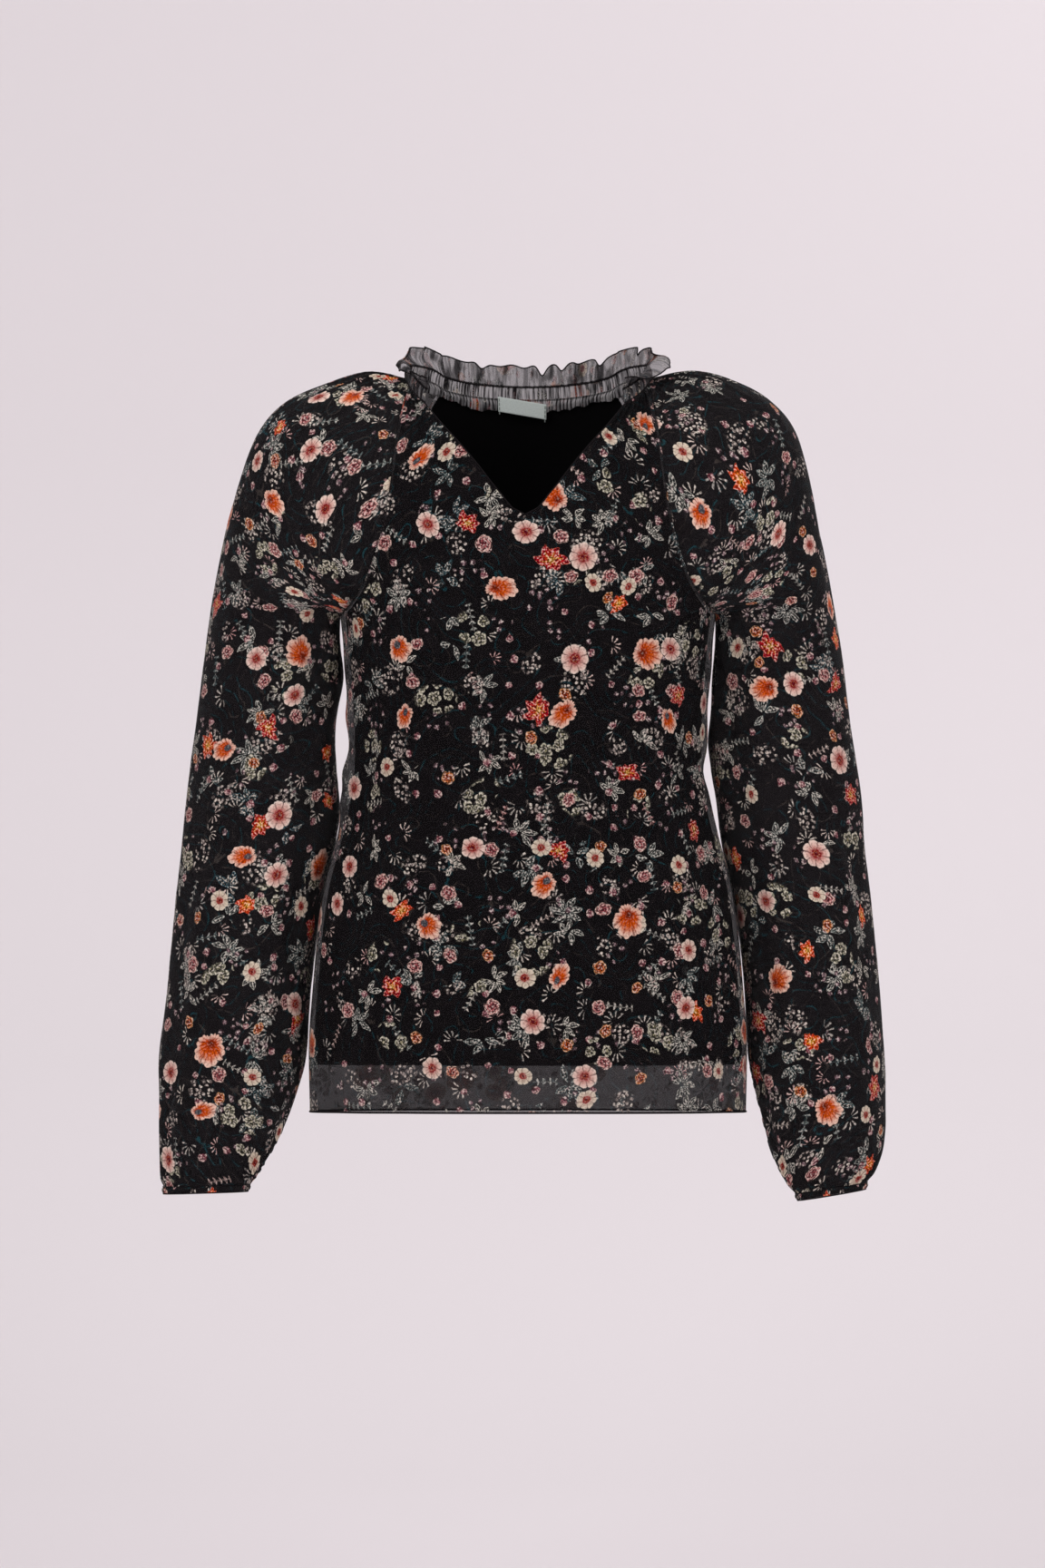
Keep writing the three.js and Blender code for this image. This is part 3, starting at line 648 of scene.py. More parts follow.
# A colour as a painter's hex code, in the linear values that nodes take
def paint(code):
    parts = [int(code[i:i + 2], 16) / 255 for i in (1, 3, 5)]
    return tuple(p / 12.92 if p <= 0.04045 else ((p + 0.055) / 1.055) ** 2.4 for p in parts) + (1.0,)


def newGroup(name, inputs, outputs):
    group = bpy.data.node_groups.new(name, "ShaderNodeTree")
    for label, kind, value in inputs:
        socket = group.interface.new_socket(name=label, in_out="INPUT", socket_type=kind)
        if value is not None:
            socket.default_value = value
    for label, kind in outputs:
        group.interface.new_socket(name=label, in_out="OUTPUT", socket_type=kind)
    desk = Desk(group)
    return group, desk, desk.node("NodeGroupInput").outputs, desk.node("NodeGroupOutput").inputs


# Scatters places over the flat cloth and gives the position round the nearest one, turned at random.
# Crowd says how close that place lies to a bouquet.
def scatterGroup():
    group, desk, given, made = newGroup(
        "scatter",
        [
            ("Flat", "NodeSocketVector", None),
            ("Shift", "NodeSocketVector", (0, 0, 0)),
            ("Cell", "NodeSocketFloat", 20.0),
            ("Spread", "NodeSocketFloat", 0.7),
            ("Vary", "NodeSocketFloat", 0.3),
            ("Squash", "NodeSocketFloat", 0.3),
        ],
        [(label, "NodeSocketFloat") for label in ("X", "Y", "Radius", "Angle", "Pick", "Tone", "Crowd")],
    )
    moved = desk.vector("ADD", given["Flat"], given["Shift"])
    cells = desk.fed(
        "ShaderNodeTexVoronoi",
        {"Vector": moved, "Scale": desk.calc("DIVIDE", 1.0, given["Cell"]), "Randomness": given["Spread"]},
        voronoi_dimensions="2D",
        feature="F1",
    )
    picks = desk.fed("ShaderNodeSeparateColor", {0: cells["Color"]})
    aside = desk.vector("SUBTRACT", moved, cells["Position"])
    turnBy = desk.calc("MULTIPLY", picks[1], 20.0)
    turned = desk.fed("ShaderNodeVectorRotate", {"Vector": aside, "Angle": turnBy}, rotation_type="Z_AXIS")
    size = desk.calc("MULTIPLY_ADD", given["Vary"], desk.calc("SUBTRACT", picks[2], 0.5), 1.0)
    narrow = desk.calc("MULTIPLY_ADD", given["Squash"], picks[1], 1.0)
    scale = desk.fed("ShaderNodeCombineXYZ", {0: desk.calc("MULTIPLY", size, narrow), 1: size})
    x, y, _ = desk.fed("ShaderNodeSeparateXYZ", {0: desk.vector("MULTIPLY", turned[0], scale[0])})
    place = desk.vector("SUBTRACT", cells["Position"], given["Shift"])
    bouquets = desk.clouds(place, printLook["bouquetScale"], 0.0)
    for label, value in (
        ("X", x),
        ("Y", y),
        ("Radius", desk.calc("SQRT", desk.calc("MULTIPLY_ADD", x, x, desk.calc("MULTIPLY", y, y)))),
        ("Angle", desk.calc("ARCTAN2", y, x)),
        ("Pick", picks[0]),
        ("Tone", picks[2]),
        ("Crowd", desk.step(bouquets["Fac"], 0.38, 0.62)),
    ):
        desk.feed(made[label], value)
    return group


# The print, layer on layer, in millimetres on the flat cloth: cell is the spacing, size half a motif,
# sparse and dense the share of cells that are filled away from the bouquets and in them.
printLook = {
    "ground": "#0e0c0d",
    "groundWarm": "#141113",
    "edge": 0.35,
    "unsteady": 2.0,
    "bouquetScale": 0.013,
    "inkScale": 0.55,
    "leafInk": {"dark": 0.7, "pale": 0.4},
    "flowerInk": {"dark": 0.28, "pale": 0.16},
    "brightness": 1.16,
    "leaf": {"cell": 36, "size": 16.5, "sparse": 0.38, "dense": 0.66, "shift": (9, 37, 0)},
    "sprig": {"cell": 32, "size": 12.5, "sparse": 0.26, "dense": 0.46, "shift": (23, 3, 0)},
    "fern": {"cell": 27, "size": 9.5, "sparse": 0.36, "dense": 0.5, "shift": (11, 23, 0)},
    "floret": {"cell": 3.6, "size": 1.45, "sparse": 0.7, "dense": 0.9, "shift": (2, 4, 0)},
    "berry": {"cell": 8.2, "size": 2.3, "sparse": 0.85, "dense": 0.7, "shift": (1, 2, 0)},
    "bud": {"cell": 22, "size": 4.6, "sparse": 0.36, "dense": 0.44, "shift": (17, 9, 0)},
    "cream": {"cell": 13.8, "size": 6.0, "sparse": 0.9, "dense": 0.75, "shift": (3, 8, 0)},
    "rose": {"cell": 33, "size": 6.4, "sparse": 0.24, "dense": 0.42, "shift": (71, 19, 0)},
    "lily": {"cell": 66, "size": 14.0, "sparse": 0.1, "dense": 0.44, "shift": (57, 33, 0)},
    "blossom": {"cell": 45, "size": 9.6, "sparse": 0.06, "dense": 0.55, "shift": (5, 71, 0)},
    "poppy": {"cell": 118, "size": 12.0, "sparse": 0.8, "dense": 0.85, "shift": (31, 12, 0)},
}
# The patches in which the smallest flowers grow close together
patchLook = {
    "floret": {"cell": 60, "size": 10.5, "shift": (19, 32.3, 0)},
    "berry": {"cell": 54, "size": 12, "shift": (53, 90.1, 0)},
    "cream": {"cell": 90, "size": 15.5, "shift": (87, 147.9, 0)},
}


def printGroup():
    scatter = scatterGroup()
    group, desk, given, made = newGroup(
        "ditsyPrint",
        [("Flat", "NodeSocketVector", None)],
        [("Color", "NodeSocketColor"), ("Motif", "NodeSocketFloat")],
    )
    flat = desk.fed("ShaderNodeVectorMath", {0: given["Flat"], "Scale": 1000}, operation="SCALE")[0]
    wander = desk.clouds(flat, 0.2, 2.0)
    # Every outline is drawn a little unsteadily, as by a brush.
    offset = desk.vector("SUBTRACT", wander["Color"], (0.5, 0.5, 0.5))
    flat = desk.vector("ADD", flat, desk.vector("MULTIPLY", offset, (printLook["unsteady"],) * 3))
    edgeWidth = printLook["edge"]

    def places(look, spread=0.75, vary=0.3, squash=0.3):
        inputs = {"Flat": flat, "Shift": look["shift"], "Cell": look["cell"]}
        inputs.update({"Spread": spread, "Vary": vary, "Squash": squash})
        outputs = desk.fed("ShaderNodeGroup", inputs, node_tree=scatter)
        return {socket.name.lower(): socket for socket in outputs}

    def within(value, edge):
        return desk.step(value, desk.calc("ADD", edge, edgeWidth), desk.calc("SUBTRACT", edge, edgeWidth))

    def present(spot, look):
        share = desk.calc("MULTIPLY_ADD", spot["crowd"], look["dense"] - look["sparse"], look["sparse"])
        return desk.calc("LESS_THAN", spot["pick"], share)

    def times(*masks):
        total = masks[0]
        for mask in masks[1:]:
            total = desk.calc("MULTIPLY", total, mask)
        return total

    def wave(spot, count):
        return desk.calc("ABSOLUTE", desk.calc("COSINE", desk.calc("MULTIPLY", spot["angle"], count / 2)))

    def stripes(value, pitch):
        return desk.calc("ABSOLUTE", desk.calc("SINE", desk.calc("MULTIPLY", value, pi / pitch)))

    # How far out a point is from a flower's heart (0) to its edge (1), and the lobes of its petals
    def petals(spot, count, size, depth, power):
        lobes = wave(spot, count)
        rounded = desk.calc("POWER", lobes, power)
        edge = desk.calc("MULTIPLY_ADD", rounded, size * depth, size * (1 - depth))
        return desk.calc("DIVIDE", spot["radius"], edge), edge, lobes

    # The ray of a motif that a point is nearest to, and how far it lies along and beside that ray
    def rays(spot, count, twist=0.0):
        sector = 2 * pi / count
        angle = desk.calc("MULTIPLY_ADD", spot["radius"], twist, spot["angle"]) if twist else spot["angle"]
        ray = desk.calc("ROUND", desk.calc("DIVIDE", angle, sector))
        tilt = desk.calc("SUBTRACT", angle, desk.calc("MULTIPLY", ray, sector))
        ahead = desk.calc("MULTIPLY", spot["radius"], desk.calc("COSINE", tilt))
        aside = desk.calc("ABSOLUTE", desk.calc("MULTIPLY", spot["radius"], desk.calc("SINE", tilt)))
        return ray, ahead, aside

    # A chance between 0 and 1 for each ray of each motif
    def rayChance(spot, ray):
        place = desk.fed("ShaderNodeCombineXYZ", {0: ray, 1: spot["pick"]})[0]
        return desk.fed("ShaderNodeTexWhiteNoise", {"Vector": place}, noise_dimensions="2D")["Value"]

    # Half the width of a pointed leaf or petal at a share of its length
    def pointed(along, width, fullest=1.0):
        share = desk.calc("POWER", desk.calc("MULTIPLY", along, 1.0, clamp=True), fullest)
        return desk.calc("MULTIPLY", desk.calc("SINE", desk.calc("MULTIPLY", share, pi)), width)

    def patches(look):
        spot = places(look, vary=0.5, squash=0.8)
        return desk.step(spot["radius"], look["size"] + 1.5, look["size"] - 1.5)

    cover = None
    color = desk.mix(wander["Fac"], paint(printLook["ground"]), paint(printLook["groundWarm"]))

    def lay(mask, over):
        nonlocal cover, color
        color = desk.mix(mask, color, over)
        cover = mask if cover is None else desk.calc("MAXIMUM", cover, mask)

    def shades(factor, *stops):
        return desk.ramp(factor, [(at, paint(code)) for at, code in stops])

    # The ink lies unevenly in the crepe: broken, with pale touches
    ink = desk.clouds(flat, printLook["inkScale"], 1.0)["Fac"]
    thin = desk.step(ink, 0.53, 0.34)
    thick = desk.step(ink, 0.52, 0.7)

    def breakInk(look):
        nonlocal color
        color = desk.mix(times(thin, cover, look["dark"]), color, paint(printLook["ground"]))
        color = desk.mix(times(thick, cover, look["pale"]), color, paint("#f0e4da"))

    # Curling stems, as contour lines of a slow noise
    for seed, tone, pitch in ((0, "#1f4248", 5.0), (40, "#3b3532", 4.0)):
        hills = desk.clouds(desk.vector("ADD", flat, (seed, seed, 0)), 0.018, 0.5)["Fac"]
        lines = desk.calc("ABSOLUTE", desk.calc("SINE", desk.calc("MULTIPLY", hills, pitch * pi * 2)))
        broken = desk.step(wander["Fac"], 0.42, 0.52)
        color = desk.mix(times(desk.step(lines, 0.12, 0.05), broken, 0.75), color, paint(tone))

    # Pointed leaves round a place: pale rims and ribs, dark between
    look = printLook["leaf"]
    spot = places(look, squash=0.25)
    ray, ahead, aside = rays(spot, 7, 0.02)
    chance = rayChance(spot, ray)
    length = desk.calc("MULTIPLY_ADD", chance, look["size"] * 0.5, look["size"] * 0.45)
    leafWidth = pointed(desk.calc("DIVIDE", desk.calc("SUBTRACT", ahead, 1.5), length), 2.7)
    grown = times(present(spot, look), desk.step(chance, 0.34, 0.36), desk.step(leafWidth, 0.1, 0.5))
    ribs = desk.step(stripes(desk.calc("SUBTRACT", ahead, aside), 1.5), 0.7, 0.95)
    inside = desk.mix(times(ribs, 0.35), paint("#0f1112"), paint("#6a6f6b"))
    rim = desk.step(desk.calc("SUBTRACT", leafWidth, aside), 0.7, 0.25)
    drawn = desk.calc("MAXIMUM", rim, desk.step(aside, 0.45, 0.15))
    leafTone = shades(spot["tone"], (0.0, "#2f5560"), (0.14, "#5d6f6f"), (0.3, "#9fa19b"), (1.0, "#cdc7bb"))
    lay(times(within(aside, leafWidth), grown), desk.mix(drawn, inside, leafTone))

    # Sprigs with leaves in pairs along a stem
    look = printLook["sprig"]
    spot = places(look, squash=0.1)
    step, slant = 5.6, 0.62
    beat = desk.calc("SUBTRACT", desk.calc("FLOORED_MODULO", spot["x"], step), step / 2)
    aside = desk.calc("ABSOLUTE", spot["y"])
    ahead = desk.calc("MULTIPLY_ADD", beat, cos(slant), desk.calc("MULTIPLY", aside, sin(slant)))
    across = desk.calc("MULTIPLY_ADD", beat, -sin(slant), desk.calc("MULTIPLY", aside, cos(slant)))
    leafWidth = pointed(desk.calc("DIVIDE", ahead, 6.2), 1.15)
    leaves = times(within(desk.calc("ABSOLUTE", across), leafWidth), desk.step(leafWidth, 0.05, 0.4))
    leaves = desk.calc("MAXIMUM", leaves, times(desk.step(aside, 0.55, 0.25), 0.5))
    reach = desk.calc("ABSOLUTE", spot["x"])
    leaves = times(leaves, desk.step(reach, look["size"] + 0.5, look["size"] - 0.5), present(spot, look))
    lay(leaves, shades(spot["tone"], (0.0, "#30474b"), (0.4, "#777b77"), (0.75, "#a39c94"), (1.0, "#a97f7c")))

    # Ferns: pale strokes round half of a place
    look = printLook["fern"]
    spot = places(look, squash=0.5)
    _, ahead, aside = rays(spot, 10)
    far = times(desk.step(spot["radius"], 2.6, 3.4), desk.step(spot["radius"], look["size"], look["size"] - 1.2))
    toOneSide = desk.calc("SINE", desk.calc("MULTIPLY_ADD", spot["pick"], 17.0, spot["angle"]))
    stroke = within(aside, desk.calc("MULTIPLY", spot["radius"], 0.085))
    lay(times(stroke, far, desk.step(toOneSide, -0.3, -0.1), present(spot, look)),
        shades(spot["tone"], (0.0, "#8f8a86"), (0.5, "#c2b8ae"), (1.0, "#b98b8a")))

    # Heads of tiny florets
    look = printLook["floret"]
    spot = places(look, spread=0.9, squash=0.4)
    florets = times(within(spot["radius"], look["size"]), present(spot, look), patches(patchLook["floret"]))
    lay(florets, shades(spot["tone"], (0.0, "#5b5250"), (0.5, "#a2958f"), (1.0, "#c9bfb4")))

    # Berries
    look = printLook["berry"]
    spot = places(look, spread=0.75, squash=0.2)
    berries = times(within(spot["radius"], look["size"]), present(spot, look), patches(patchLook["berry"]))
    outward = desk.calc("DIVIDE", spot["radius"], look["size"])
    lay(berries, shades(outward, (0.0, "#a39295"), (0.5, "#74595f"), (1.0, "#35262b")))

    # Rosebuds, wide at one end
    look = printLook["bud"]
    spot = places(look, squash=0.3)
    ahead = desk.calc("DIVIDE", desk.calc("ADD", spot["x"], look["size"]), look["size"] * 2, clamp=True)
    budWidth = pointed(ahead, look["size"] * 0.72, 1.5)
    streak = stripes(desk.calc("DIVIDE", spot["y"], desk.calc("ADD", ahead, 0.25)), 1.9)
    budColor = shades(ahead, (0.1, "#3f4a3e"), (0.3, "#6c333d"), (0.6, "#93646a"), (0.9, "#bfa39d"))
    budMask = times(within(desk.calc("ABSOLUTE", spot["y"]), budWidth), present(spot, look))
    lay(times(budMask, desk.step(budWidth, 0.1, 0.6)),
        desk.mix(times(desk.step(streak, 0.45, 0.15), 0.85), budColor, paint("#53242e")))

    # Small cream flowers in patches, drawn mostly as outlines
    look = printLook["cream"]
    spot = places(look, spread=0.65, vary=0.35, squash=0.3)
    reach, edge, lobes = petals(spot, 5, look["size"], 0.3, 0.6)
    creamColor = shades(
        reach,
        (0.0, "#2c281f"), (0.16, "#a09979"), (0.26, "#35332a"), (0.6, "#5a584a"), (0.8, "#aaa591"), (1.0, "#bdb8a6"),
    )
    gap = times(desk.step(lobes, 0.42, 0.15), desk.step(reach, 0.25, 0.4), 0.85)
    lay(times(within(spot["radius"], edge), present(spot, look), patches(patchLook["cream"])),
        desk.mix(gap, creamColor, paint("#24231e")))

    # Small roses, pink or orange, with a dark swirl
    look = printLook["rose"]
    spot = places(look, vary=0.4, squash=0.35)
    reach, edge, _ = petals(spot, 5, look["size"], 0.2, 0.6)
    turning = desk.calc("MULTIPLY_ADD", spot["radius"], 1.15, spot["angle"])
    swirl = desk.calc("ABSOLUTE", desk.calc("SINE", turning))
    pink = shades(reach, (0.0, "#5c1a24"), (0.4, "#9a5659"), (0.8, "#bd8b86"), (1.0, "#d3b6ab"))
    orange = shades(reach, (0.0, "#6c2419"), (0.4, "#a54a2b"), (0.8, "#bf784e"), (1.0, "#d0a682"))
    roseColor = desk.mix(desk.step(spot["tone"], 0.5, 0.56), pink, orange)
    lay(times(within(spot["radius"], edge), present(spot, look)),
        desk.mix(times(desk.step(swirl, 0.62, 0.25), 0.9), roseColor, paint("#3d151b")))

    # Red and orange lilies with pointed petals
    look = printLook["lily"]
    spot = places(look, vary=0.4, squash=0.45)
    ray, ahead, aside = rays(spot, 6, 0.05)
    length = desk.calc("MULTIPLY_ADD", rayChance(spot, ray), look["size"] * 0.5, look["size"] * 0.55)
    along = desk.calc("DIVIDE", ahead, length, clamp=True)
    petalWidth = pointed(along, 3.7, 0.85)
    red = shades(along, (0.0, "#a39c58"), (0.25, "#b03a2a"), (0.6, "#a81f2a"), (1.0, "#8c1a2a"))
    orange = shades(along, (0.0, "#b5a65c"), (0.25, "#d0682a"), (0.6, "#c83e1e"), (1.0, "#a82a1e"))
    lilyColor = desk.mix(desk.step(spot["tone"], 0.4, 0.5), red, orange)
    lilyRim = desk.step(desk.calc("SUBTRACT", petalWidth, aside), 0.9, 0.3)
    lilyColor = desk.mix(times(lilyRim, 0.4), lilyColor, paint("#cf8468"))
    rib = times(desk.step(aside, 0.7, 0.25), desk.step(along, 0.7, 0.4), 0.7)
    lay(times(within(aside, petalWidth), desk.step(petalWidth, 0.1, 0.5), present(spot, look)),
        desk.mix(rib, lilyColor, paint("#dba45c")))

    breakInk(printLook["leafInk"])

    # Pale blossoms with a dark red heart
    look = printLook["blossom"]
    spot = places(look, vary=0.5, squash=0.25)
    reach, edge, lobes = petals(spot, 8, look["size"], 0.14, 0.5)
    blossomColor = shades(
        reach,
        (0.0, "#4f0c15"), (0.32, "#7d1623"), (0.42, "#ad6f68"), (0.55, "#c79a90"), (0.8, "#d6b7ac"), (1.0, "#e2cdc1"),
    )
    creamy = times(desk.step(spot["tone"], 0.45, 0.6), desk.step(reach, 0.36, 0.5), 0.6)
    blossomColor = desk.mix(creamy, blossomColor, paint("#c4c0aa"))
    ring = times(desk.step(reach, 0.12, 0.18), desk.step(reach, 0.32, 0.24))
    stamens = times(ring, desk.step(wave(spot, 11), 0.7, 0.92))
    blossomColor = desk.mix(times(stamens, 0.5), blossomColor, paint("#c98a62"))
    gap = times(desk.step(lobes, 0.4, 0.08), desk.step(reach, 0.36, 0.5), 0.75)
    lay(times(within(spot["radius"], edge), present(spot, look)), desk.mix(gap, blossomColor, paint("#5f3735")))

    # Poppies seen from the side: a fan of streaked petals with a pale frilled rim, round a heart set low
    look = printLook["poppy"]
    spot = places(look, vary=0.3, squash=0.5)
    high = desk.calc("ADD", spot["y"], look["size"] * 0.42)
    fan = dict(spot, angle=desk.calc("ARCTAN2", high, spot["x"]))
    streaks = wave(fan, 17)
    reach, edge, _ = petals(spot, 5, look["size"], 0.24, 0.5)
    edge = desk.calc("MULTIPLY_ADD", streaks, 1.1, edge)
    highSquared = desk.calc("MULTIPLY", high, high)
    fromHeart = desk.calc("SQRT", desk.calc("MULTIPLY_ADD", spot["x"], spot["x"], highSquared))
    poppyColor = shades(
        desk.calc("DIVIDE", fromHeart, look["size"] * 1.4),
        (0.0, "#3a1b14"), (0.14, "#7e2c1a"), (0.28, "#b5431f"), (0.5, "#cb6440"), (0.75, "#d28c74"), (1.0, "#dcb09f"),
    )
    poppyColor = desk.mix(times(desk.step(reach, 0.6, 0.95), 0.8), poppyColor, paint("#e3c3b3"))
    veins = times(desk.step(streaks, 0.62, 0.15), desk.step(reach, 1.1, 0.7), 0.8)
    poppyColor = desk.mix(veins, poppyColor, paint("#8a2f1e"))
    fold = times(desk.step(wave(fan, 5), 0.2, 0.04), desk.step(reach, 0.2, 0.45), 0.7)
    poppyColor = desk.mix(fold, poppyColor, paint("#5f2015"))
    eye = times(desk.step(fromHeart, 4.2, 3.2), desk.step(spot["tone"], 0.4, 0.5), 0.9)
    lay(times(within(spot["radius"], edge), present(spot, look)), desk.mix(eye, poppyColor, paint("#3a4349")))

    breakInk(printLook["flowerInk"])
    fresh = {"Saturation": 1.1, "Value": printLook["brightness"], "Color": color}
    desk.feed(made["Color"], desk.fed("ShaderNodeHueSaturation", fresh)["Color"])
    desk.feed(made["Motif"], cover)
    return group


clothLook = {
    "crepeGrain": 1100.0,  # grains to a metre
    "grainStrength": 0.25,
    "grainDepth": 0.00015,
    "roughness": 0.85,
    "specular": 0.06,
    "sheen": 0.02,
    "sheenRoughness": 0.5,
}
ditsyPrint = printGroup()


def clothMaterial(name):
    material = bpy.data.materials.new(name)
    material.use_nodes = True
    desk = Desk(material.node_tree)
    shader = material.node_tree.nodes["Principled BSDF"]
    for socket, key in (
        ("Roughness", "roughness"),
        ("Specular IOR Level", "specular"),
        ("Sheen Weight", "sheen"),
        ("Sheen Roughness", "sheenRoughness"),
    ):
        shader.inputs[socket].default_value = clothLook[key]
    return material, desk, shader


def flatCut(desk):
    return desk.node("ShaderNodeUVMap", uv_map="flatCut").outputs[0]


def grainBump(desk, shader, vector):
    grain = desk.clouds(vector, clothLook["crepeGrain"], 0.0)["Fac"]
    inputs = {"Strength": clothLook["grainStrength"], "Distance": clothLook["grainDepth"], "Height": grain}
    desk.feed(shader.inputs["Normal"], desk.fed("ShaderNodeBump", inputs)["Normal"])
    return grain


def printNodes(desk, uv):
    pattern = desk.fed("ShaderNodeGroup", {"Flat": uv}, node_tree=ditsyPrint)
    return pattern["Color"], pattern["Motif"]


# Printed chiffon. Light passes both faces of its wall, so each face's opacity counts.
def printedChiffon(name, opacity):
    material, desk, shader = clothMaterial(name)
    uv = flatCut(desk)
    color, motif = printNodes(desk, uv)
    grain = grainBump(desk, shader, uv)
    desk.feed(shader.inputs["Base Color"], desk.mix(desk.calc("MULTIPLY", grain, 0.05), color, paint("#2a2628")))
    desk.feed(shader.inputs["Alpha"], desk.calc("MULTIPLY_ADD", motif, (1 - opacity) * 0.6, opacity))
    return material


# The reverse of the panels: a dull, mottled ground without the print.
def chiffonReverse(name, opacity):
    material, desk, shader = clothMaterial(name)
    uv = flatCut(desk)
    grain = grainBump(desk, shader, uv)
    mottle = desk.clouds(uv, 55.0, 1.0)["Fac"]
    dull = desk.mix(desk.step(mottle, 0.35, 0.7), paint("#110f10"), paint("#262224"))
    desk.feed(shader.inputs["Base Color"], dull)
    desk.feed(shader.inputs["Alpha"], desk.calc("MULTIPLY_ADD", grain, 0.08, opacity))
    return material


# The neck trim: the same chiffon drawn up by gathers, whose light is painted into its colour as pale streaks (painted
# highlights) and dark patches (painted shade). It closes up along the two stitch lines, at the foot and the top of
# the casing, where painted shade darkens it.
stitchLineRise = 0.012  # metres up the trim


def trimCloth(name, look):
    material, desk, shader = clothMaterial(name)
    uv = flatCut(desk)
    color, motif = printNodes(desk, uv)
    grainBump(desk, shader, uv)
    # Pale streaks along the puckers are painted highlights; the same streaks also make the cloth let more through.
    puckers = desk.clouds(desk.vector("MULTIPLY", uv, (look["gathers"], 30.0, 0.0)), 1.0, 2.0)["Fac"]
    streak = desk.step(puckers, 0.42, 0.58)
    color = desk.mix(look["muted"], color, paint("#2f2c2e"))
    color = desk.mix(desk.calc("MULTIPLY", streak, look["streak"]), color, paint(look["pale"]))
    rise = desk.fed("ShaderNodeSeparateXYZ", {0: uv})[1]
    toUpper = desk.calc("ABSOLUTE", desk.calc("SUBTRACT", rise, stitchLineRise))
    toSeam = desk.calc("MINIMUM", desk.calc("ABSOLUTE", rise), toUpper)
    # Near both stitch lines the colour darkens to near black as painted shade of the pinched gathers, and the cloth
    # is made more opaque.
    drawnInShade = desk.step(toSeam, 0.0016, 0.0004)
    # Dark patches: painted shade darkens the colour there, and the cloth is made more opaque.
    layers = desk.clouds(desk.vector("MULTIPLY", uv, (48.0, 34.0, 0.0)), 1.0, 2.0)["Fac"]
    doubledAndShaded = desk.step(layers, 0.5, 0.66)
    color = desk.mix(desk.calc("MULTIPLY", doubledAndShaded, look["dark"]), color, paint("#1b191b"))
    color = desk.mix(desk.calc("MULTIPLY", drawnInShade, 0.75), color, paint("#0b090a"))
    desk.feed(shader.inputs["Base Color"], color)
    solid = desk.calc("MULTIPLY_ADD", motif, (1 - look["opacity"]) * 0.5 * (1 - look["muted"]), look["opacity"])
    solid = desk.calc("MULTIPLY_ADD", streak, -look["thin"], solid)
    solid = desk.calc("MULTIPLY_ADD", doubledAndShaded, look["dark"] * 0.3, solid)
    desk.feed(shader.inputs["Alpha"], desk.calc("MULTIPLY_ADD", drawnInShade, 0.3, solid))
    return material


def plainCloth(name, color, fleck, roughness):
    material, desk, shader = clothMaterial(name)
    grain = grainBump(desk, shader, flatCut(desk))
    desk.feed(shader.inputs["Base Color"], desk.mix(grain, paint(color), paint(fleck)))
    shader.inputs["Roughness"].default_value = roughness
    return material


def threadMaterial(name, color, fleck):
    material, desk, shader = clothMaterial(name)
    place = desk.node("ShaderNodeTexCoord").outputs["Object"]
    inputs = {"Vector": place, "Scale": 900.0}
    twist = desk.fed("ShaderNodeTexWave", inputs, wave_type="BANDS", bands_direction="DIAGONAL")["Fac"]
    desk.feed(shader.inputs["Base Color"], desk.mix(twist, paint(color), paint(fleck)))
    return material


bodyCloth = printedChiffon("printedChiffon", 0.56)
bodyReverse = chiffonReverse("printedChiffonReverse", 0.46)
sleeveCloth = printedChiffon("sleeveChiffon", 0.78)
sleeveReverse = chiffonReverse("sleeveChiffonReverse", 0.68)
# pale is the colour of the painted highlights along the puckers and streak their strength; dark is the strength of
# the painted shade patches.
trimColumns = ("gathers", "opacity", "muted", "pale", "streak", "thin", "dark")
trimLooks = {
    "casingChiffon": (330, 0.72, 0.2, "#8c8789", 0.45, 0.2, 0.5),
    "casingChiffonReverse": (330, 0.82, 0.6, "#c4bfc1", 0.8, 0.3, 0.6),
    "ruffleChiffon": (150, 0.62, 0.25, "#6d686a", 0.3, 0.1, 0.7),
    "ruffleChiffonReverse": (150, 0.56, 0.5, "#a09b9e", 0.5, 0.16, 0.85),
}
trimCloths = [trimCloth(name, dict(zip(trimColumns, look))) for name, look in trimLooks.items()]
casingCloths, ruffleCloths = trimCloths[:2], trimCloths[2:]
liningCloth = plainCloth("liningBlack", "#050405", "#0a090a", 0.9)
labelCloth = plainCloth("labelSatin", "#9fa5a2", "#b9bfbb", 0.5)
darkThread = threadMaterial("darkThread", "#0b090a", "#1c1719")
greyThread = threadMaterial("greyThread", "#5b605d", "#868c88")
print("materials made")

# Body panels
bodyRelief = {
    "gathers": 88,  # round the whole neck
    "gatherDepth": 1.5,
    "gatherLength": 52,
    "seamPuff": 0.7,
    "seamFlat": 9,  # how far in from a seam the cloth lies flat
    "foldRamp": 60,
    "liningCrease": 0.35,
    "splitReach": 95,  # how far below the neck the edges of the split still hold the cloth flat
    "fullness": 0.5,  # how much wider the cloth is cut than the neck it is drawn into
    "fullnessLength": 48,
}
# Folds: place across (-1 to 1 at the sides), depth, width, lower and upper end
frontFolds = [
    (-0.72, 4.0, 0.09, -700, -250),
    (-0.44, 3.0, 0.08, -700, -330),
    (-0.2, 2.4, 0.07, -420, -150),
    (0.14, 2.6, 0.08, -700, -380),
    (0.43, 3.2, 0.08, -560, -240),
    (0.74, 4.2, 0.09, -700, -270),
]
backFolds = [
    (-0.78, 4.4, 0.08, -700, -220),
    (-0.5, 3.4, 0.08, -700, -120),
    (-0.16, 3.0, 0.07, -700, -260),
    (0.12, 3.6, 0.08, -520, -90),
    (0.47, 3.2, 0.08, -700, -200),
    (0.77, 4.4, 0.08, -700, -230),
]
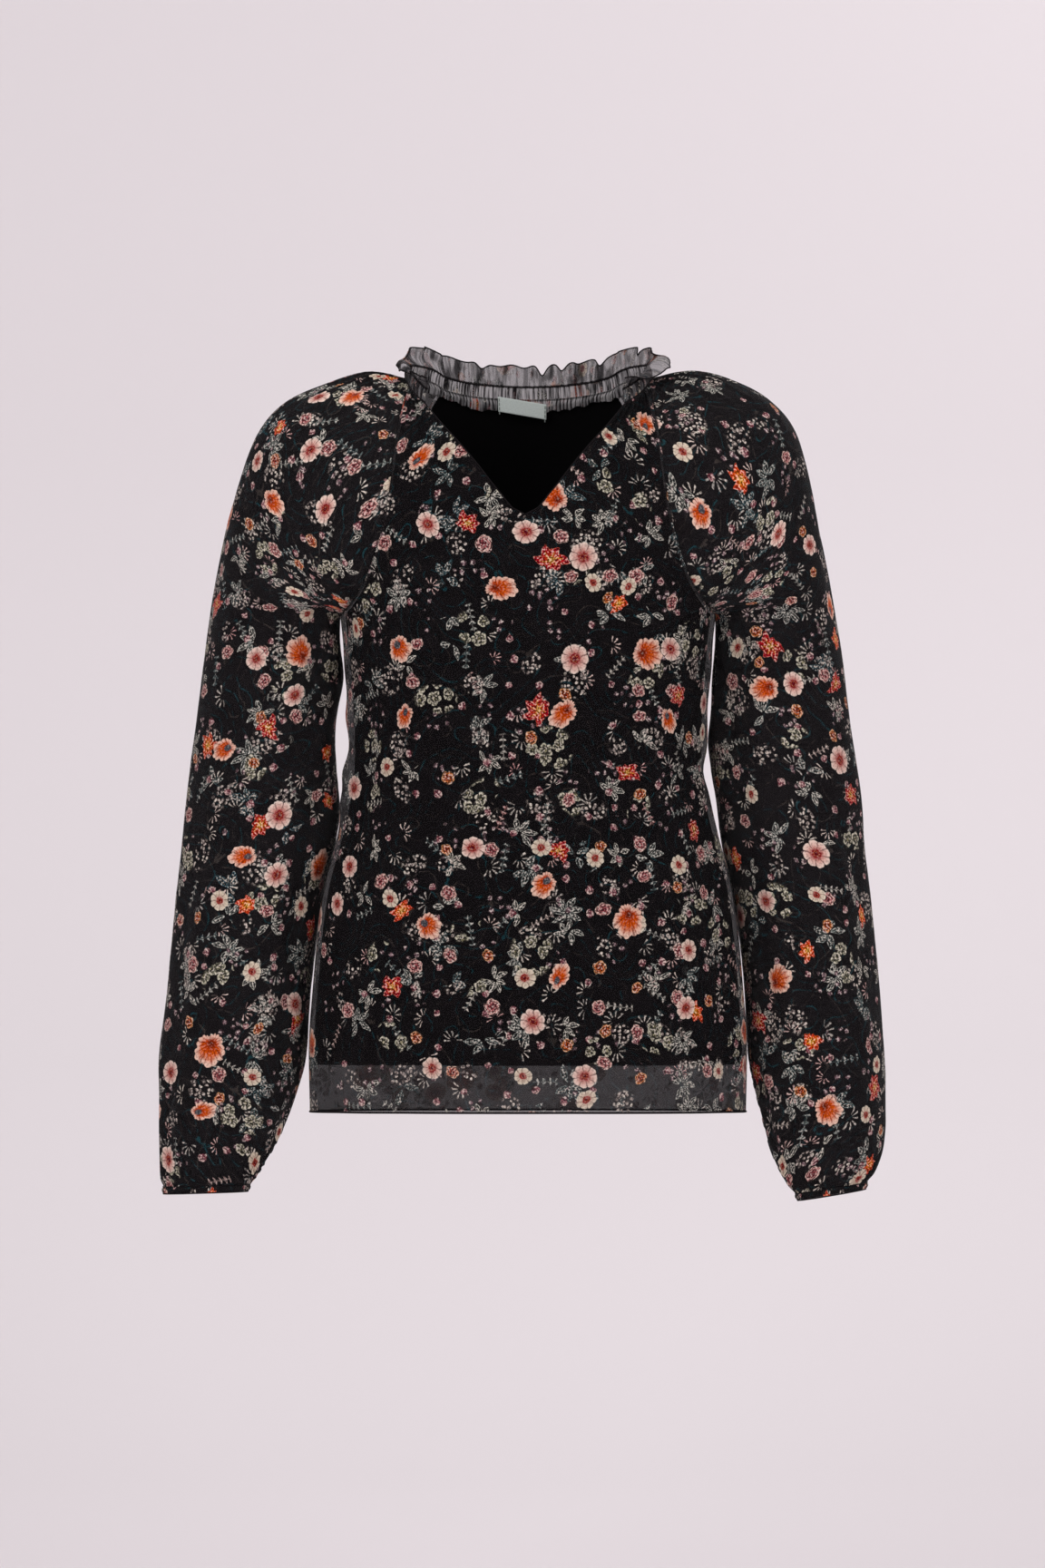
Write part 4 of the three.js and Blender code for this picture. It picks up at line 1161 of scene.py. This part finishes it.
# Small bulges (or dents, under 0) of the side seams: height, depth, width
sideBulges = {
    -1: [(-252, 1.2, 20), (-295, 3.2, 15), (-344, 6.0, 15), (-370, 4.0, 14)],
    1: [(-255, 1.2, 22), (-312, 1.2, 18), (-342, -3.0, 13)],
}
# Creases on the flat cloth: from x, z to x, z, depth (a ridge where it is under 0), width
frontCreases = [
    (-228, -222, -120, -300, 2.2, 9),
    (-214, -205, -105, -236, 1.7, 8),
    (226, -226, 118, -312, 2.0, 9),
    (212, -208, 100, -244, 1.8, 8),
    (-205, -330, -95, -372, 1.6, 10),
    (208, -336, 110, -362, 1.8, 10),
    (-60, -130, -96, -260, 1.2, 9),
    (52, -134, 84, -250, 1.3, 9),
    (-150, -470, -172, -620, -1.8, 9),
    (-40, -440, -30, -620, -1.4, 12),
    (66, -420, 82, -628, 1.8, 10),
    (168, -480, 184, -630, -1.6, 9),
    (4, -160, -14, -300, 0.9, 12),
]
backCreases = [
    (-224, -222, -96, -292, 2.4, 10),
    (222, -224, 104, -300, 2.3, 10),
    (-206, -336, -60, -366, 2.0, 11),
    (210, -330, 76, -356, 2.1, 11),
    (-128, -90, -100, -240, 1.7, 10),
    (120, -86, 104, -230, 1.7, 10),
    (-86, -420, -104, -628, -1.8, 11),
    (30, -430, 22, -628, 1.9, 11),
    (148, -450, 158, -628, -1.7, 10),
    (-14, -60, -24, -190, 1.5, 9),
]


def bulgeAt(bulges, z):
    return sum(depth * exp(-((z - at) / width) ** 2) for at, depth, width in bulges)


def sideBulge(share, z):
    near = exp(-((1 - abs(share)) / 0.12) ** 2)
    return near * bulgeAt(sideBulges[-1 if share < 0 else 1], z) if near > 0.01 else 0


def fullnessAt(fromNeck):
    return 1 + bodyRelief["fullness"] * exp(-(fromNeck / bodyRelief["fullnessLength"]) ** 1.5)


# Gathers run down from the neck, each to a length of its own.
def neckGather(t, fromNeck):
    length = bodyRelief["gatherLength"] * (1 + 0.7 * noise.noise(Vector((t * 60, 3.1, 0))))
    fade = smoothStep(fromNeck, 0, 7) * exp(-(fromNeck / length) ** 1.4)
    long = smoothStep(fromNeck, 4, 30) * exp(-(fromNeck / 150) ** 2)
    fine = ripple(t, bodyRelief["gathers"], 2.0) * bodyRelief["gatherDepth"] * fade
    return fine + 0.9 * ripple(t, bodyRelief["gathers"] * 0.31, 6.0) * long


# The cloth swells a little beside a seam.
def seamPuff(edge):
    return bodyRelief["seamPuff"] * smoothStep(edge, 0, 3.5) * exp(-edge / 16)


frontLook = {"facing": -1, "folds": frontFolds, "creases": frontCreases, "seamReach": 180, "seed": 4.0}
backLook = {"facing": 1, "folds": backFolds, "creases": backCreases, "seamReach": 200, "seed": 14.0}


# How far a body panel stands out at one point: share runs from 0 in the middle to 1 or -1 at the seams,
# t round the neck. The lining lies further in, with the same folds and fainter creases.
def panelRelief(look, share, t, fromNeck, flatX, flatY, inset, middleSoft=1):
    halfWidth = arcLength(pi / 2, flatY, look["facing"])
    fold = foldDepth(look["folds"], flatX / halfWidth, flatY, bodyRelief["foldRamp"])
    crease = creaseDepth(look["creases"], flatX, flatY)
    if inset:
        return -inset - fold - bodyRelief["liningCrease"] * crease
    edge = (1 - abs(share)) * look["seamReach"]
    soft = smoothStep(edge, 0, bodyRelief["seamFlat"]) * middleSoft
    wave = 0.55 * wobble(flatX, flatY, 55, look["seed"]) + 0.16 * wobble(flatX, flatY, 17, look["seed"] + 4)
    push = neckGather(t, fromNeck) + wave - crease
    return soft * push + seamPuff(edge) - fold + sideBulge(share, flatY)


# Widens the flat cloth towards the neck, where it is gathered, and moves it along the bolt.
def gatherFlat(bm, shift, fromNeckAt=lambda fromNeck: max(0.0, fromNeck)):
    uvLayer = bm.loops.layers.uv["flatCut"]
    along = bm.verts.layers.float["along"]
    for face in bm.faces:
        for loop in face.loops:
            flat = loop[uvLayer]
            full = fullnessAt(fromNeckAt(loop.vert[along]))
            flat.uv = (flat.uv.x * full + shift[0] * mm, flat.uv.y + shift[1] * mm)


def frontPanel(name, node, layer):
    bm = newSheet()
    columns = bodyDetail["frontHalfColumns"]
    for side in (-1, 1):
        rows = frontRows(side, layer["lowest"])

        def spotAt(i, j, rows=rows, side=side):
            row = rows[j]
            u = i / columns if side < 0 else 1 - i / columns
            z = lerp(row["outerZ"], row["innerZ"], u)
            angle = lerp(row["outerAngle"], row["innerAngle"], u)
            arc = arcLength(angle, z, -1)
            return bodyPoint(angle, z, -1), side * (1 - u), row["fromNeck"], arc, z

        layGrid(bm, columns, len(rows) - 1, spotAt)
    # The two halves are one cloth below the split.
    lowPoint = shape["splitPointZ"] + 0.5
    middle = [v for v in bm.verts if abs(v.co.x / mm - centreX(v.co.z / mm)) < 0.4 and v.co.z < lowPoint * mm]
    bmesh.ops.remove_doubles(bm, verts=middle, dist=0.02 * mm)

    def relief(share, fromNeck, flatX, flatY):
        low, high = neckParts["frontRight" if share < 0 else "frontLeft"]
        inward = 1 - abs(share)
        t = lerp(high, low, inward) if share < 0 else lerp(low, high, inward)
        middleSoft = 1 if fromNeck > bodyRelief["splitReach"] else smoothStep(abs(share), 0, 0.06)
        return panelRelief(frontLook, share, t, fromNeck, flatX, flatY, layer["inset"], middleSoft)

    pushSheet(bm, relief)
    gatherFlat(bm, (0, 0))
    return finishSheet(bm, name, layer["materials"], clothWall, node)


def backPanel(name, node, layer):
    bm = newSheet()
    columns = bodyDetail["backColumns"]
    rows = backRows(layer["lowest"])

    def spotAt(i, j):
        row = rows[j]
        u = 2 * i / columns - 1
        angle = row["angle"] * u
        z = row["z"] - row["dip"] * (1 - u * u)
        return bodyPoint(angle, z, 1), u, row["fromNeck"], arcLength(angle, z, 1), z

    layGrid(bm, columns, len(rows) - 1, spotAt, turned=True)

    def relief(share, fromNeck, flatX, flatY):
        t = lerp(*neckParts["back"], (share + 1) / 2)
        return panelRelief(backLook, share, t, fromNeck, flatX, flatY, layer["inset"])

    pushSheet(bm, relief)
    gatherFlat(bm, (620, 37))
    return finishSheet(bm, name, layer["materials"], clothWall, node)


clothWall = 0.5
chiffonLayer = {
    "lowest": shape["hemZ"],
    "inset": 0,
    "materials": [bodyCloth, bodyReverse],
    "slot": "printed_chiffon",
}
liningLayer = {
    "lowest": shape["liningHemZ"],
    "inset": shape["liningInset"],
    "materials": [liningCloth],
    "slot": "lining_black",
}
front = frontPanel("frontPanel", "front_panel", chiffonLayer)
back = backPanel("backPanel", "back_panel", chiffonLayer)
liningFront = frontPanel("liningFront", "lining_front", liningLayer)
liningBack = backPanel("liningBack", "lining_back", liningLayer)
print("body panels and lining made")

# Sleeves
sleeveDetail = {"columns": 144, "armRows": 118}
sleeveRelief = {
    "cuffGathers": 46,
    "cuffGatherDepth": 1.6,
    "cuffGatherLength": 40,
    "outerSwell": {-1: 1.4, 1: 2.3},
    "boltPlace": {-1: (2100, 330), 1: (1300, 50)},
}
# Bulges of each sleeve towards the body, which close the slit between them but for a short eye
innerBulges = {
    -1: [(-261, 5.0, 23), (-376, 1.2, 14)],
    1: [(-262, 2.2, 26), (-318, 3.2, 20), (-345, 1.5, 12)],
}
sleeveFolds = [
    (0.12, 4.5, 0.045, 4.5, 16.0),
    (0.27, 5.0, 0.05, 6.0, 19.5),
    (0.42, 3.5, 0.045, 8.5, 19.5),
    (0.62, 4.5, 0.05, 5.0, 18.5),
    (0.8, 4.5, 0.05, 6.0, 19.5),
]
# Creases on a flat sleeve: x from the outer line (under 0 in front), z down from the neck
sleeveCreases = {
    1: [
        (-150, -250, -60, -330, 2.4, 9),
        (-165, -300, -80, -352, 1.8, 8),
        (-60, -420, -20, -560, 2.0, 10),
        (-110, -470, -40, -500, 1.8, 9),
        (-30, -600, -50, -720, -1.8, 8),
        (40, -590, 30, -724, 1.8, 9),
        (80, -300, 60, -470, 2.0, 10),
        (120, -520, 90, -690, 2.0, 10),
        (-90, -640, -84, -728, 1.6, 8),
        (20, -180, -20, -330, 1.6, 12),
    ],
    -1: [
        (-148, -246, -64, -318, 2.3, 9),
        (-166, -292, -74, -364, 1.9, 8),
        (-70, -410, -34, -570, 2.1, 10),
        (-106, -480, -30, -520, 1.7, 9),
        (-38, -610, -44, -722, 1.9, 8),
        (36, -580, 22, -722, -1.7, 9),
        (84, -310, 52, -480, 2.1, 10),
        (116, -540, 96, -700, 1.9, 10),
        (-84, -650, -92, -728, 1.5, 8),
        (10, -170, -16, -340, 1.7, 12),
    ],
}


def sleevePanel(side):
    bm = newSheet()
    columns = sleeveDetail["columns"]
    armRows = sleeveDetail["armRows"]
    rows = capStations() + [lerp(underarm, armStations, i / armRows) for i in range(1, armRows + 1)]
    lines, sums, down = [], [], [0.0]
    for s in rows:
        row = sleeveRow(side, s)
        line = [sleevePoint(row, i / columns) for i in range(columns + 1)]
        run = [0.0]
        for a, b in zip(line, line[1:]):
            run.append(run[-1] + (b - a).length)
        lines.append(line)
        sums.append([value - run[columns // 2] for value in run])
        if len(lines) > 1:
            down.append(down[-1] - (lines[-1][columns // 2] - lines[-2][columns // 2]).length)

    def spotAt(i, j):
        return lines[j][i], i / columns, rows[j], sums[j][i], down[j]

    layGrid(bm, columns, len(rows) - 1, spotAt, turned=side < 0)
    # The underarm seam closes the arm into a tube.
    across, station = bm.verts.layers.float["across"], bm.verts.layers.float["along"]
    edges = [v for v in bm.verts if v[station] >= underarm - 1e-4 and v[across] in (0.0, 1.0)]
    bmesh.ops.remove_doubles(bm, verts=edges, dist=0.02 * mm)
    low, high = neckParts["sleeveRight" if side < 0 else "sleeveLeft"]
    look = sleeveRelief

    def relief(u, s, flatX, flatY):
        t = lerp(low, high, u) if side < 0 else lerp(high, low, u)
        toCuff = columnAt(armLengths, "station", "length", s)
        edge = min(u, 1 - u) * 340
        capShare = 1 - smoothStep(s, underarm - 0.6, underarm + 0.8)
        soft = lerp(1.0, smoothStep(edge, 0, 9), capShare)
        length = look["cuffGatherLength"] * (1 + 0.8 * noise.noise(Vector((u * 40, 5.1 * side, 0))))
        fade = smoothStep(toCuff, 0, 8) * exp(-(max(0.0, toCuff) / length) ** 1.4)
        cuffGather = look["cuffGatherDepth"] * ripple(u, look["cuffGathers"], 11.0 + side) * fade
        longOnes = smoothStep(toCuff, 2, 40) * exp(-(max(0.0, toCuff) / 150) ** 2)
        cuffGather += 1.4 * ripple(u, 13, 15.0 + side, 0.5) * longOnes
        wave = 0.8 * wobble(flatX, flatY, 60, 24.0 + side) + 0.2 * wobble(flatX, flatY, 18, 28.0)
        gather = neckGather(t, neckDistance(min(s, underarm))) * capShare
        push = gather + wave - creaseDepth(sleeveCreases[side], flatX, flatY)
        fold = foldDepth(sleeveFolds, u, s, 2, wrapped=s > underarm)
        swell = look["outerSwell"][side] * exp(-((u - 0.5) / 0.16) ** 2)
        swell *= smoothStep(s, 4.5, 7) * (1 - smoothStep(s, 18, 20))
        if s > underarm:
            innerZ = columnAt(sleeveData[side]["inner"], "station", "innerZ", s - underarm)
            swell += exp(-(min(u, 1 - u) / 0.07) ** 2) * bulgeAt(innerBulges[side], innerZ)
        return soft * push + soft * cuffGather + seamPuff(edge) * capShare - fold + swell

    pushSheet(bm, relief)
    gatherFlat(bm, look["boltPlace"][side], lambda s: neckDistance(min(s, underarm)))
    name = "Left" if side > 0 else "Right"
    return finishSheet(bm, "sleeve" + name, [sleeveCloth, sleeveReverse], clothWall, "sleeve_" + name.lower())


sleeveLeft = sleevePanel(1)
sleeveRight = sleevePanel(-1)
print("sleeves made")


# Strips of the neck trim: rowAt gives the rise up the standing trim and the distance out.
def neckStrip(name, node, columns, rows, rowAt, materials, thickness, span=(0, 1), shift=0):
    bm = newSheet()

    def spotAt(i, j):
        t = lerp(*span, i / columns)
        middle, away, up = neckFrame(t, neckDetail["lean"])
        rise, out = rowAt(t, 1 - j / rows)
        flatX = t * neckLength * neckDetail["trimFullness"] + shift
        return middle + up * rise + away * out, t, j / rows, flatX, rise

    layGrid(bm, columns, rows, spotAt, turned=True)
    return finishSheet(bm, name, materials, thickness, node)


casingLook = {"height": 12, "gathers": 140, "depth": 1.0, "swell": 0.9}
ruffleLook = {"waves": 19, "throw": 4.2, "sag": 2.4, "puckers": 120, "puckerDepth": 0.6}
# The ruffle from its right front end (-1) round the back (0) to the left: how tall it stands, how far
# it flares at the top, rolls out half way up and droops back down.
ruffleEdge = [
    {"at": -1, "height": 11, "flare": 3, "roll": 0, "droop": 0},
    {"at": -0.9, "height": 12, "flare": 5, "roll": 2, "droop": 5},
    {"at": -0.77, "height": 15, "flare": 8, "roll": 3, "droop": 17},
    {"at": -0.68, "height": 17, "flare": 9, "roll": 3, "droop": 17},
    {"at": -0.58, "height": 18, "flare": 8, "roll": 6, "droop": 4},
    {"at": -0.46, "height": 20, "flare": 9, "roll": 5, "droop": 0},
    {"at": -0.22, "height": 20, "flare": 4, "roll": 0, "droop": 0},
    {"at": 0, "height": 19, "flare": 3, "roll": 0, "droop": 0},
    {"at": 0.22, "height": 20, "flare": 4, "roll": 0, "droop": 0},
    {"at": 0.44, "height": 19, "flare": 6, "roll": 1, "droop": 0},
    {"at": 0.54, "height": 16, "flare": 4, "roll": 1, "droop": 0},
    {"at": 0.62, "height": 17, "flare": 6, "roll": 4, "droop": 3},
    {"at": 0.7, "height": 23, "flare": 17, "roll": 4, "droop": 17},
    {"at": 0.78, "height": 24, "flare": 21, "roll": 3, "droop": 22},
    {"at": 0.88, "height": 16, "flare": 14, "roll": 2, "droop": 13},
    {"at": 1, "height": 11, "flare": 4, "roll": 0, "droop": 0},
]
ruffleNotches = [(-0.2, 5.5, 0.022), (0.045, 7, 0.02), (0.13, 4, 0.018), (0.3, 5, 0.022), (0.53, 4.5, 0.02)]
frillLook = {"drop": 9, "inset": 6.6, "topInset": 2.5, "rise": 1, "puckers": 64, "throw": 1.1, "span": 0.5}


def casingRow(t, share):
    bulge = sin(pi * share) ** 0.6 if 0 < share < 1 else 0
    pucker = casingLook["depth"] * ripple(t, casingLook["gathers"], 31.0) * bulge
    return share * casingLook["height"], pucker + casingLook["swell"] * (bulge - 1)


def ruffleHeight(t):
    notch = sum(depth * exp(-((2 * t - 1 - at) / width) ** 2) for at, depth, width in ruffleNotches)
    return columnAt(ruffleEdge, "at", "height", 2 * t - 1) - notch


def ruffleWave(t):
    uneven = 0.35 * sin(11 * t) + 0.2 * sin(23 * t)
    return sin(2 * pi * (ruffleLook["waves"] * t + uneven))


def ruffleRow(t, share):
    tall = ruffleHeight(t) - ruffleLook["sag"] * (1 - ruffleWave(t)) * 0.5
    flare, roll, droop = [columnAt(ruffleEdge, "at", key, 2 * t - 1) for key in ("flare", "roll", "droop")]
    swing = 0.85 + 0.3 * noise.noise(Vector((t * 17, 2.2, 0)))
    wave = ruffleLook["throw"] * ruffleWave(t) * swing / (1 + droop / 9)
    low = exp(-(share / 0.4) ** 2) * smoothStep(share, 0, 0.1)
    pucker = ruffleLook["puckerDepth"] * ripple(t, ruffleLook["puckers"], 37.0) * (low + 0.25 * share)
    curl = 1.2 * noise.noise(Vector((t * 46, 8.8, 0))) * share * share
    out = share ** 1.25 * (flare + wave) + roll * sin(pi * share) + pucker + curl - casingLook["swell"]
    return casingLook["height"] + share * tall - droop * share * share, out


def frillRow(t, share):
    down = 1 - share
    lowest = frillLook["drop"] - 1.5 * cos(40 * t) + 2.4 * noise.noise(Vector((t * 60, 1.7, 0)))
    rise = frillLook["rise"] - down * (lowest + frillLook["rise"])
    base = lerp(-frillLook["inset"], -frillLook["topInset"], smoothStep(share, 0.45, 1.0))
    return rise, base + frillLook["throw"] * ripple(t, frillLook["puckers"] / frillLook["span"], 41.0) * down


casing = neckStrip("neckCasing", "neck_casing", 900, 10, casingRow, casingCloths, 0.5)
ruffle = neckStrip("neckRuffle", "neck_ruffle", 760, 16, ruffleRow, ruffleCloths, 0.35, shift=40)
frillSpan = (0.5 - frillLook["span"] / 2, 0.5 + frillLook["span"] / 2)
frill = neckStrip("neckFrill", "neck_frill", 520, 10, frillRow, casingCloths, 0.35, frillSpan, shift=90)
print("neck trim made")


# A thin rolled edge or cord of thread along a line of points
def rolledEdge(name, points, radius, material, closed=False):
    curve = bpy.data.curves.new(name, "CURVE")
    curve.dimensions = "3D"
    curve.bevel_depth = radius * mm
    curve.bevel_resolution = 2
    curve.use_fill_caps = True
    spline = curve.splines.new("POLY")
    spline.points.add(len(points) - 1)
    for target, point in zip(spline.points, points):
        target.co = (*(point * mm), 1)
    spline.use_cyclic_u = closed
    holder = addToScene(name + "Curve", curve)
    bpy.context.view_layer.update()
    mesh = bpy.data.meshes.new_from_object(holder.evaluated_get(bpy.context.evaluated_depsgraph_get()))
    bpy.data.objects.remove(holder)
    mesh.name = name
    mesh.materials.clear()
    for polygon in mesh.polygons:
        polygon.use_smooth = True
    return newPiece(name, mesh, [material])


# The points of a panel's mesh along one of its borders, in order, in millimetres
def borderPoints(piece, keep):
    bm = bmesh.new()
    bm.from_mesh(piece.data)
    edges = [e for e in bm.edges if e.is_boundary and keep(e)]
    chains = {}
    for edge in edges:
        for vert in edge.verts:
            chains.setdefault(vert, []).append(edge)
    start = next((v for v in chains if len(chains[v]) == 1), next(iter(chains)))
    path, seen, here = [start.co / mm], set(), start
    while True:
        edge = next((e for e in chains[here] if e not in seen), None)
        if edge is None:
            break
        seen.add(edge)
        here = edge.other_vert(here)
        path.append(here.co / mm)
    bm.free()
    return path


def atHeight(z, reach=0.6):
    return lambda edge: all(abs(v.co.z / mm - z) < reach for v in edge.verts)


hemLook = {"radius": 0.85, "liningRadius": 0.6, "splitRadius": 0.55, "ruffleRadius": 0.6, "cuffRadius": 0.6}
for piece, z, radius, name in (
    (front, shape["hemZ"], hemLook["radius"], "hemFront"),
    (back, shape["hemZ"], hemLook["radius"], "hemBack"),
    (liningFront, shape["liningHemZ"], hemLook["liningRadius"], "liningHemFront"),
    (liningBack, shape["liningHemZ"], hemLook["liningRadius"], "liningHemBack"),
):
    rolledEdge(name, borderPoints(piece, atHeight(z)), radius, darkThread)


def onSplit(edge):
    middle = (edge.verts[0].co + edge.verts[1].co) / (2 * mm)
    if not shape["splitPointZ"] - 1 < middle.z < shape["splitTopZ"] + 3:
        return False
    opened = columnAt(splitEdge, "z", "halfWidth", middle.z)
    return abs(middle.x - centreX(middle.z)) < opened + 5


rolledEdge("splitEdge", borderPoints(front, onSplit), hemLook["splitRadius"], darkThread)


def trimLine(rowAt, share, count=700, lift=0.0):
    line = []
    for i in range(count + 1):
        t = i / count
        middle, away, up = neckFrame(t, neckDetail["lean"])
        rise, out = rowAt(t, share)
        line.append(middle + up * rise + away * (out + lift))
    return line


rolledEdge("ruffleEdge", trimLine(ruffleRow, 1.0, lift=-0.15), hemLook["ruffleRadius"], darkThread)


# Rows of small stitches along a line
stitchLook = {"length": 2.5, "pitch": 2.9, "radius": 0.5}


def stitches(name, lines, material):
    bm = bmesh.new()
    radius = stitchLook["radius"] * mm
    for line in lines:
        travelled = 0.0
        for a, b in zip(line, line[1:]):
            run = (b - a).length
            if travelled + run < stitchLook["pitch"]:
                travelled += run
                continue
            travelled = 0.0
            turn = (b - a).normalized().to_track_quat("Z", "Y").to_matrix().to_4x4()
            bmesh.ops.create_cone(
                bm, cap_ends=True, segments=6, radius1=radius, radius2=radius,
                depth=stitchLook["length"] * mm, matrix=Matrix.Translation(a * mm) @ turn,
            )
    return newPiece(name, meshFrom(bm, name), [material])


# The two stitch lines of the casing, inside and outside
casingLines = [
    trimLine(casingRow, share, count=1400, lift=lift) for share in (0.03, 0.97) for lift in (-0.95, 0.3)
]
stitches("casingStitches", casingLines, darkThread)
print("edges and stitches made")

# Neck label: blank woven tape, tacked at its ends
labelLook = {
    "width": 44,
    "height": 13,
    "middleX": -8,
    "topZ": -22,
    "tilt": 0.16,
    "inset": 6.85,
    "lean": 2.6,
    "thickness": 0.5,
}


def labelPoint(share, down, lift=0.0):
    centre = 0.5 + labelLook["middleX"] / neckLength
    half = labelLook["width"] / 2 / neckLength
    middle, away, _ = neckFrame(lerp(centre + half, centre - half, share), 0)
    across = (share - 0.5) * labelLook["width"]
    height = labelLook["topZ"] + across * labelLook["tilt"] - down * labelLook["height"]
    out = -labelLook["inset"] - labelLook["lean"] * down - 0.5 * sin(pi * share) + lift
    return Vector((middle.x, middle.y, height)) + away * out


def neckLabel():
    bm = newSheet()
    columns, rows = 42, 14

    def spotAt(i, j):
        share, down = i / columns, j / rows
        bow = 0.35 * wobble(share * 42, down * labelLook["height"], 14, 3.0)
        return labelPoint(share, down, bow), share, down, share * labelLook["width"], -down * labelLook["height"]

    layGrid(bm, columns, rows, spotAt)
    return finishSheet(bm, "neckLabel", [labelCloth], labelLook["thickness"], "neck_label")


label = neckLabel()
tackSteps = 16
tacks = []
for share in (0.025, 0.975):
    tacks.append([labelPoint(share, 1.15 * i / tackSteps, -0.7) for i in range(tackSteps + 1)])
stitches("labelTacks", tacks, greyThread)

# Elastic cuffs
cuffLook = {"height": 6, "gathers": 58, "depth": 0.6, "puff": 0.8, "columns": 420, "rows": 8, "flatRound": 360}


def cuffBand(side):
    row, above = sleeveRow(side, armStations), sleeveRow(side, armStations - 0.3)
    middle = sleevePoint(row, 0).lerp(sleevePoint(row, 0.5), 0.5)
    columns, rows = cuffLook["columns"], cuffLook["rows"]
    bm = newSheet()

    def spotAt(i, j):
        u = (i % columns) / columns
        share = j / rows
        edge = sleevePoint(row, u)
        down = (edge - sleevePoint(above, u)).normalized()
        inward = Vector((0, 0, -1)).lerp(down, 0.5).normalized()
        away = edge - middle
        away.z = 0
        away.normalize()
        swell = sin(pi * share)
        out = cuffLook["puff"] * swell + cuffLook["depth"] * ripple(u, cuffLook["gathers"], 51.0) * swell
        flat = (i / columns * cuffLook["flatRound"], -share * cuffLook["height"])
        return edge + inward * share * cuffLook["height"] + away * out, u, share, *flat

    layGrid(bm, columns, rows, spotAt, turned=side < 0)
    bmesh.ops.remove_doubles(bm, verts=bm.verts, dist=0.01 * mm)
    name = "Left" if side > 0 else "Right"
    piece = finishSheet(bm, "cuff" + name, [sleeveCloth, sleeveReverse], clothWall, "cuff_" + name.lower())
    seam, mouth = [[spotAt(i, j)[0] for i in range(columns)] for j in (0, rows)]
    rolledEdge("cuffEdge" + name, mouth, hemLook["cuffRadius"], darkThread, closed=True)
    return piece, seam


cuffLeft, cuffLineLeft = cuffBand(1)
cuffRight, cuffLineRight = cuffBand(-1)
stitches("cuffStitches", [cuffLineLeft, cuffLineRight], darkThread)
print("cuffs made")

# Studio: a pale floor that sweeps up into the backdrop
studio = {
    "floorZ": -1.1,
    "sweepStart": 1.0,
    "sweepRadius": 1.2,
    "halfWidth": 30.0,
    "nearY": -30.0,
    "topZ": 5.0,
    "paper": "#e8e1e4",
}


def backdrop():
    bm = bmesh.new()
    rows = 60
    bmesh.ops.create_grid(bm, x_segments=4, y_segments=rows, size=0.5)
    floorRun = studio["sweepStart"] - studio["nearY"]
    bendRun = studio["sweepRadius"] * pi / 2
    wallRun = studio["topZ"] - studio["floorZ"] - studio["sweepRadius"]
    for vert in bm.verts:
        at = (vert.co.y + 0.5) * (floorRun + bendRun + wallRun)
        x = vert.co.x * 2 * studio["halfWidth"]
        if at < floorRun:
            vert.co = (x, studio["nearY"] + at, studio["floorZ"])
        elif at < floorRun + bendRun:
            turn = (at - floorRun) / studio["sweepRadius"]
            vert.co = (
                x,
                studio["sweepStart"] + studio["sweepRadius"] * sin(turn),
                studio["floorZ"] + studio["sweepRadius"] * (1 - cos(turn)),
            )
        else:
            vert.co = (
                x,
                studio["sweepStart"] + studio["sweepRadius"],
                studio["floorZ"] + studio["sweepRadius"] + at - floorRun - bendRun,
            )
    for face in bm.faces:
        face.smooth = True
    mesh = meshFrom(bm, "paperSweep")
    sweep = addToScene("paperSweep", mesh)
    paper = bpy.data.materials.new("backdropPaper")
    paper.use_nodes = True
    shader = paper.node_tree.nodes["Principled BSDF"]
    shader.inputs["Base Color"].default_value = paint(studio["paper"])
    shader.inputs["Roughness"].default_value = 0.9
    # From behind, the paper lets the object be seen.
    desk = Desk(paper.node_tree)
    behind = desk.node("ShaderNodeNewGeometry").outputs["Backfacing"]
    desk.feed(shader.inputs["Alpha"], desk.calc("SUBTRACT", 1.0, behind))
    mesh.materials.append(paper)


backdrop()

lights = {
    "keyLight": {"place": (-2.4, -3.6, 1.5), "size": 2.4, "power": 65},
    "fillLight": {"place": (2.8, -3.4, 0.8), "size": 2.4, "power": 51},
    "topLight": {"place": (0.0, -0.6, 2.4), "size": 2.0, "power": 29},
    "backLight": {"place": (0.9, 1.7, 1.0), "size": 1.6, "power": 12},
}
for name, look in lights.items():
    lamp = bpy.data.lights.new(name, "AREA")
    lamp.size = look["size"]
    lamp.energy = look["power"]
    lampObject = addToScene(name, lamp)
    lampObject.location = look["place"]
    aim = Vector((0, 0, -0.3)) - Vector(look["place"])
    lampObject.rotation_euler = aim.to_track_quat("-Z", "Y").to_euler()

world = bpy.data.worlds.new("studioAir")
world.use_nodes = True
air = world.node_tree.nodes["Background"].inputs
air["Color"].default_value = (0.95, 0.92, 0.94, 1)
air["Strength"].default_value = 0.425
bpy.context.scene.world = world
bpy.context.scene.view_settings.view_transform = "Standard"

# Camera square to the front, far enough away to flatten the view as the photograph does
cameraLook = {"distance": 20.0, "aimX": -4.7 * mm, "aimZ": -352.6 * mm, "frameHeight": 1.348, "sensor": 36}
camera = bpy.data.cameras.new("camera")
camera.sensor_fit = "VERTICAL"
camera.sensor_height = cameraLook["sensor"]
camera.lens = cameraLook["sensor"] * cameraLook["distance"] / cameraLook["frameHeight"]
camera.clip_end = 50
cameraObject = addToScene("camera", camera)
cameraObject.location = (cameraLook["aimX"], -cameraLook["distance"], cameraLook["aimZ"])
cameraObject.rotation_euler = (pi / 2, 0, 0)
bpy.context.scene.camera = cameraObject
print("studio and camera made")
